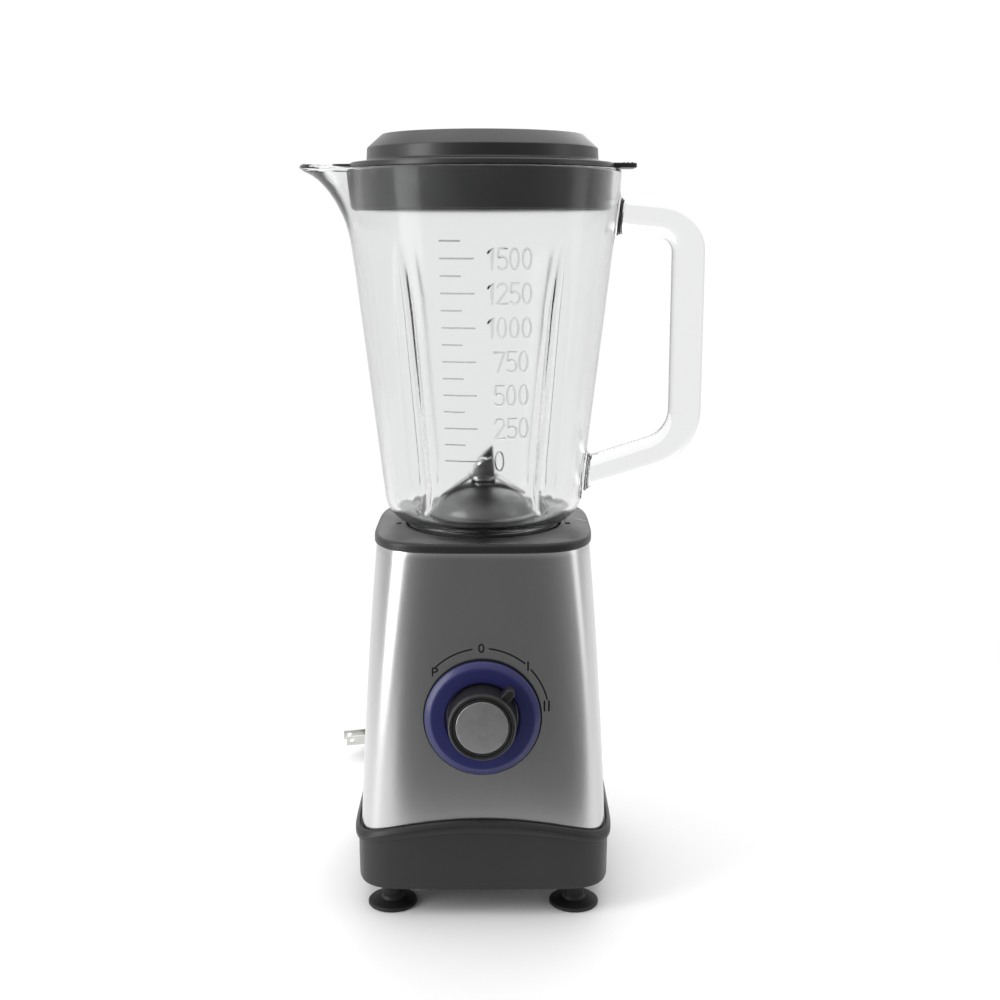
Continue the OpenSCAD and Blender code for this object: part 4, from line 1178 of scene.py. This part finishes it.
def coil_points():
    """The cord's middle line: out of the sleeve, twice round on the floor, then to the plug."""
    lead = [(30, 102, 30), (30, 107, 30), (30, 112, 29.2), (30, 117, 27.5), (30.1, 122, 24.9),
            (30.2, 127, 21.7), (30.4, 132, 18), (30.6, 137, 14.2), (30.8, 142, 10.7),
            (31, 147, 7.8)]
    pts = list(lead)
    turn_r, lay_z, pitch = 37.05, 3.95, 6.1

    def smooth(t):
        t = max(0.0, min(1.0, t))
        return t * t * (3 - 2 * t)

    # The second turn lies a pitch inside the first and climbs over it at its end.
    phi = 7.0
    while phi < 826.2:
        k = smooth(phi / 60)
        r, z = 38.1 + (turn_r - 38.1) * k, 7.8 + (lay_z - 7.8) * k
        r -= pitch * smooth((phi - 285) / 60)
        k = smooth((phi - 640) / 70)
        if k > 0:
            a = radians(180 - 90 * k)
            r, z = turn_r + pitch * cos(a), lay_z + pitch * sin(a)
        angle = radians(phi - 13.7)
        pts.append((COIL[0] + r * cos(angle), COIL[1] + r * sin(angle), z))
        phi += 7.5
    tail = [(-20, 189.8, 10.1), (-26, 189.2, 10.3), (-32, 188.2, 10.9), (-38, 186.8, 11.6),
            (-43, 185.3, 12.2), (-47.7, 184, 12.5)]
    return pts, tail


def add_cord():
    coil, tail = ([Vector(p) for p in part] for part in coil_points())
    last, first = coil[-1], tail[0]
    gap = (first - last).length
    steps = max(2, int(gap / 6))
    joined = list(coil)
    # A short easing piece between the coil and the straight tail.
    before = (last - coil[-2]).normalized() * gap
    after = (tail[1] - first).normalized() * gap
    for i in range(1, steps):
        t = i / steps
        h00, h10 = 2 * t ** 3 - 3 * t ** 2 + 1, t ** 3 - 2 * t ** 2 + t
        h01, h11 = -2 * t ** 3 + 3 * t ** 2, t ** 3 - t ** 2
        joined.append(last * h00 + before * h10 + first * h01 + after * h11)
    joined += tail
    curve = bpy.data.curves.new("mains_cord", "CURVE")
    curve.dimensions = "3D"
    curve.bevel_depth = CORD_D / 2 * MM
    curve.bevel_resolution = 5
    curve.use_fill_caps = True
    spline = curve.splines.new("POLY")
    spline.points.add(len(joined) - 1)
    for p, q in zip(spline.points, joined):
        p.co = (q.x * MM, q.y * MM, q.z * MM, 1)
    cord = add_object("mains_cord", curve)
    curve.materials.append(M["cord"])
    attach(cord, "base")
    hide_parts("cord_lead", "cord_coil", "cord_tail")


def make_tie():
    """Strap round both turns of the coil."""
    line = rounded(box(-6.9, 0.35, 6.9, 12.6), [2.4, 2.4, 2.8, 2.8], 6)
    n = len(line)
    rings = []
    for i, (y, z) in enumerate(line):
        a, b = line[i - 1], line[(i + 1) % n]
        t = Vector((b[0] - a[0], b[1] - a[1])).normalized()
        out = Vector((t.y, -t.x))
        ring = []
        for w, d in [(-2.6, 0.0), (-2.8, 0.2), (-2.6, 0.4), (2.6, 0.4), (2.8, 0.2), (2.6, 0.0)]:
            ring.append((COIL[0] + w, COIL[1] - 34 + y + out.x * (d - 0.2), z + out.y * (d - 0.2)))
        rings.append(ring)
    tie = loft("tie_shell", rings, closed=True)
    dress(tie, "nylon", "base", ["cord_tie"], 30)
    return tie


# ---- Floor ----


def add_floor():
    """Pale floor that fades into the background's white away from the object."""
    m, t, b = principled("pale_floor", 0.6, spec=0.2)
    v = object_coords(t)
    tone = ramp(t, noise(t, v, 3, 2), grey(0.95), grey(0.97))
    t.links.new(tone, b.inputs["Base Color"])
    reach = node(t, "ShaderNodeVectorMath", operation="LENGTH")
    t.links.new(v, reach.inputs[0])
    fade = node(t, "ShaderNodeMapRange", {"From Min": 0.18, "From Max": 0.65},
                interpolation_type="SMOOTHSTEP")
    t.links.new(reach.outputs["Value"], fade.inputs["Value"])
    glow = node(t, "ShaderNodeEmission", {"Color": (1, 1, 1, 1), "Strength": WHITE})
    mix_shaders(t, fade.outputs["Result"], b.outputs["BSDF"], glow.outputs["Emission"],
                t.nodes["Material Output"].inputs["Surface"])
    me = bpy.data.meshes.new("floor")
    w, near, far = 1.1, -0.21, 0.85
    # On the left the floor reaches further forward, where the steel's corner mirrors it.
    outline = [(-w, far), (-w, -0.63), (-0.4, -0.63), (-0.055, near), (w, near), (w, far)]
    me.from_pydata([(x, y, -0.0002) for x, y in outline], [], [tuple(range(len(outline)))])
    floor = add_object("floor", me)
    me.materials.append(m)


# ---- Build ----

CAD_LOOKS = {
    "seal": ["lid_seal"],
    "collar": ["jar_collar"],
    "gasket": ["jar_gasket"],
    "shaft": ["blade_bush", "blade_shaft", "shaft_clip", "blade_washer", "motor_shaft",
              "upper_bearing", "lower_bearing", "through_bolts", "damper_screws", "cover_screws",
              "switch_nut", "switch_spindle"],
    "rubber": ["shaft_seal", "rubber_dampers", "feet"],
    "nylon": ["jar_drive_socket", "drive_coupling", "cooling_fan"],
    "cover": ["bottom_cover"],
    "laminations": ["rotor_core", "stator_core"],
    "copper": ["rotor_windings", "field_coils", "commutator"],
    "alloy": ["upper_bracket", "lower_bracket"],
    "brass": ["brush_holders"],
    "carbon": ["carbon_brushes"],
    "switch": ["rotary_switch", "cord_clamp"],
    "ivory": ["terminal_block"],
    "lead": ["internal_leads"],
    "cord": ["strain_relief"],
    "pin": ["plug_blades"],
}


def dress_cad():
    for key, names in CAD_LOOKS.items():
        for name in names:
            ob = NODES[name]
            ob.data.materials.clear()
            ob.data.materials.append(M[key])
            ob.data.shade_smooth()
            ob.data.set_sharp_from_angle(angle=radians(32))


make_lid()
make_jar()
make_scale()
make_holder()
make_blades()
make_plate()
make_housing()
make_skirt()
make_dial()
make_marks()
plug = make_plug()
tie = make_tie()
add_cord()
add_floor()
dress_cad()
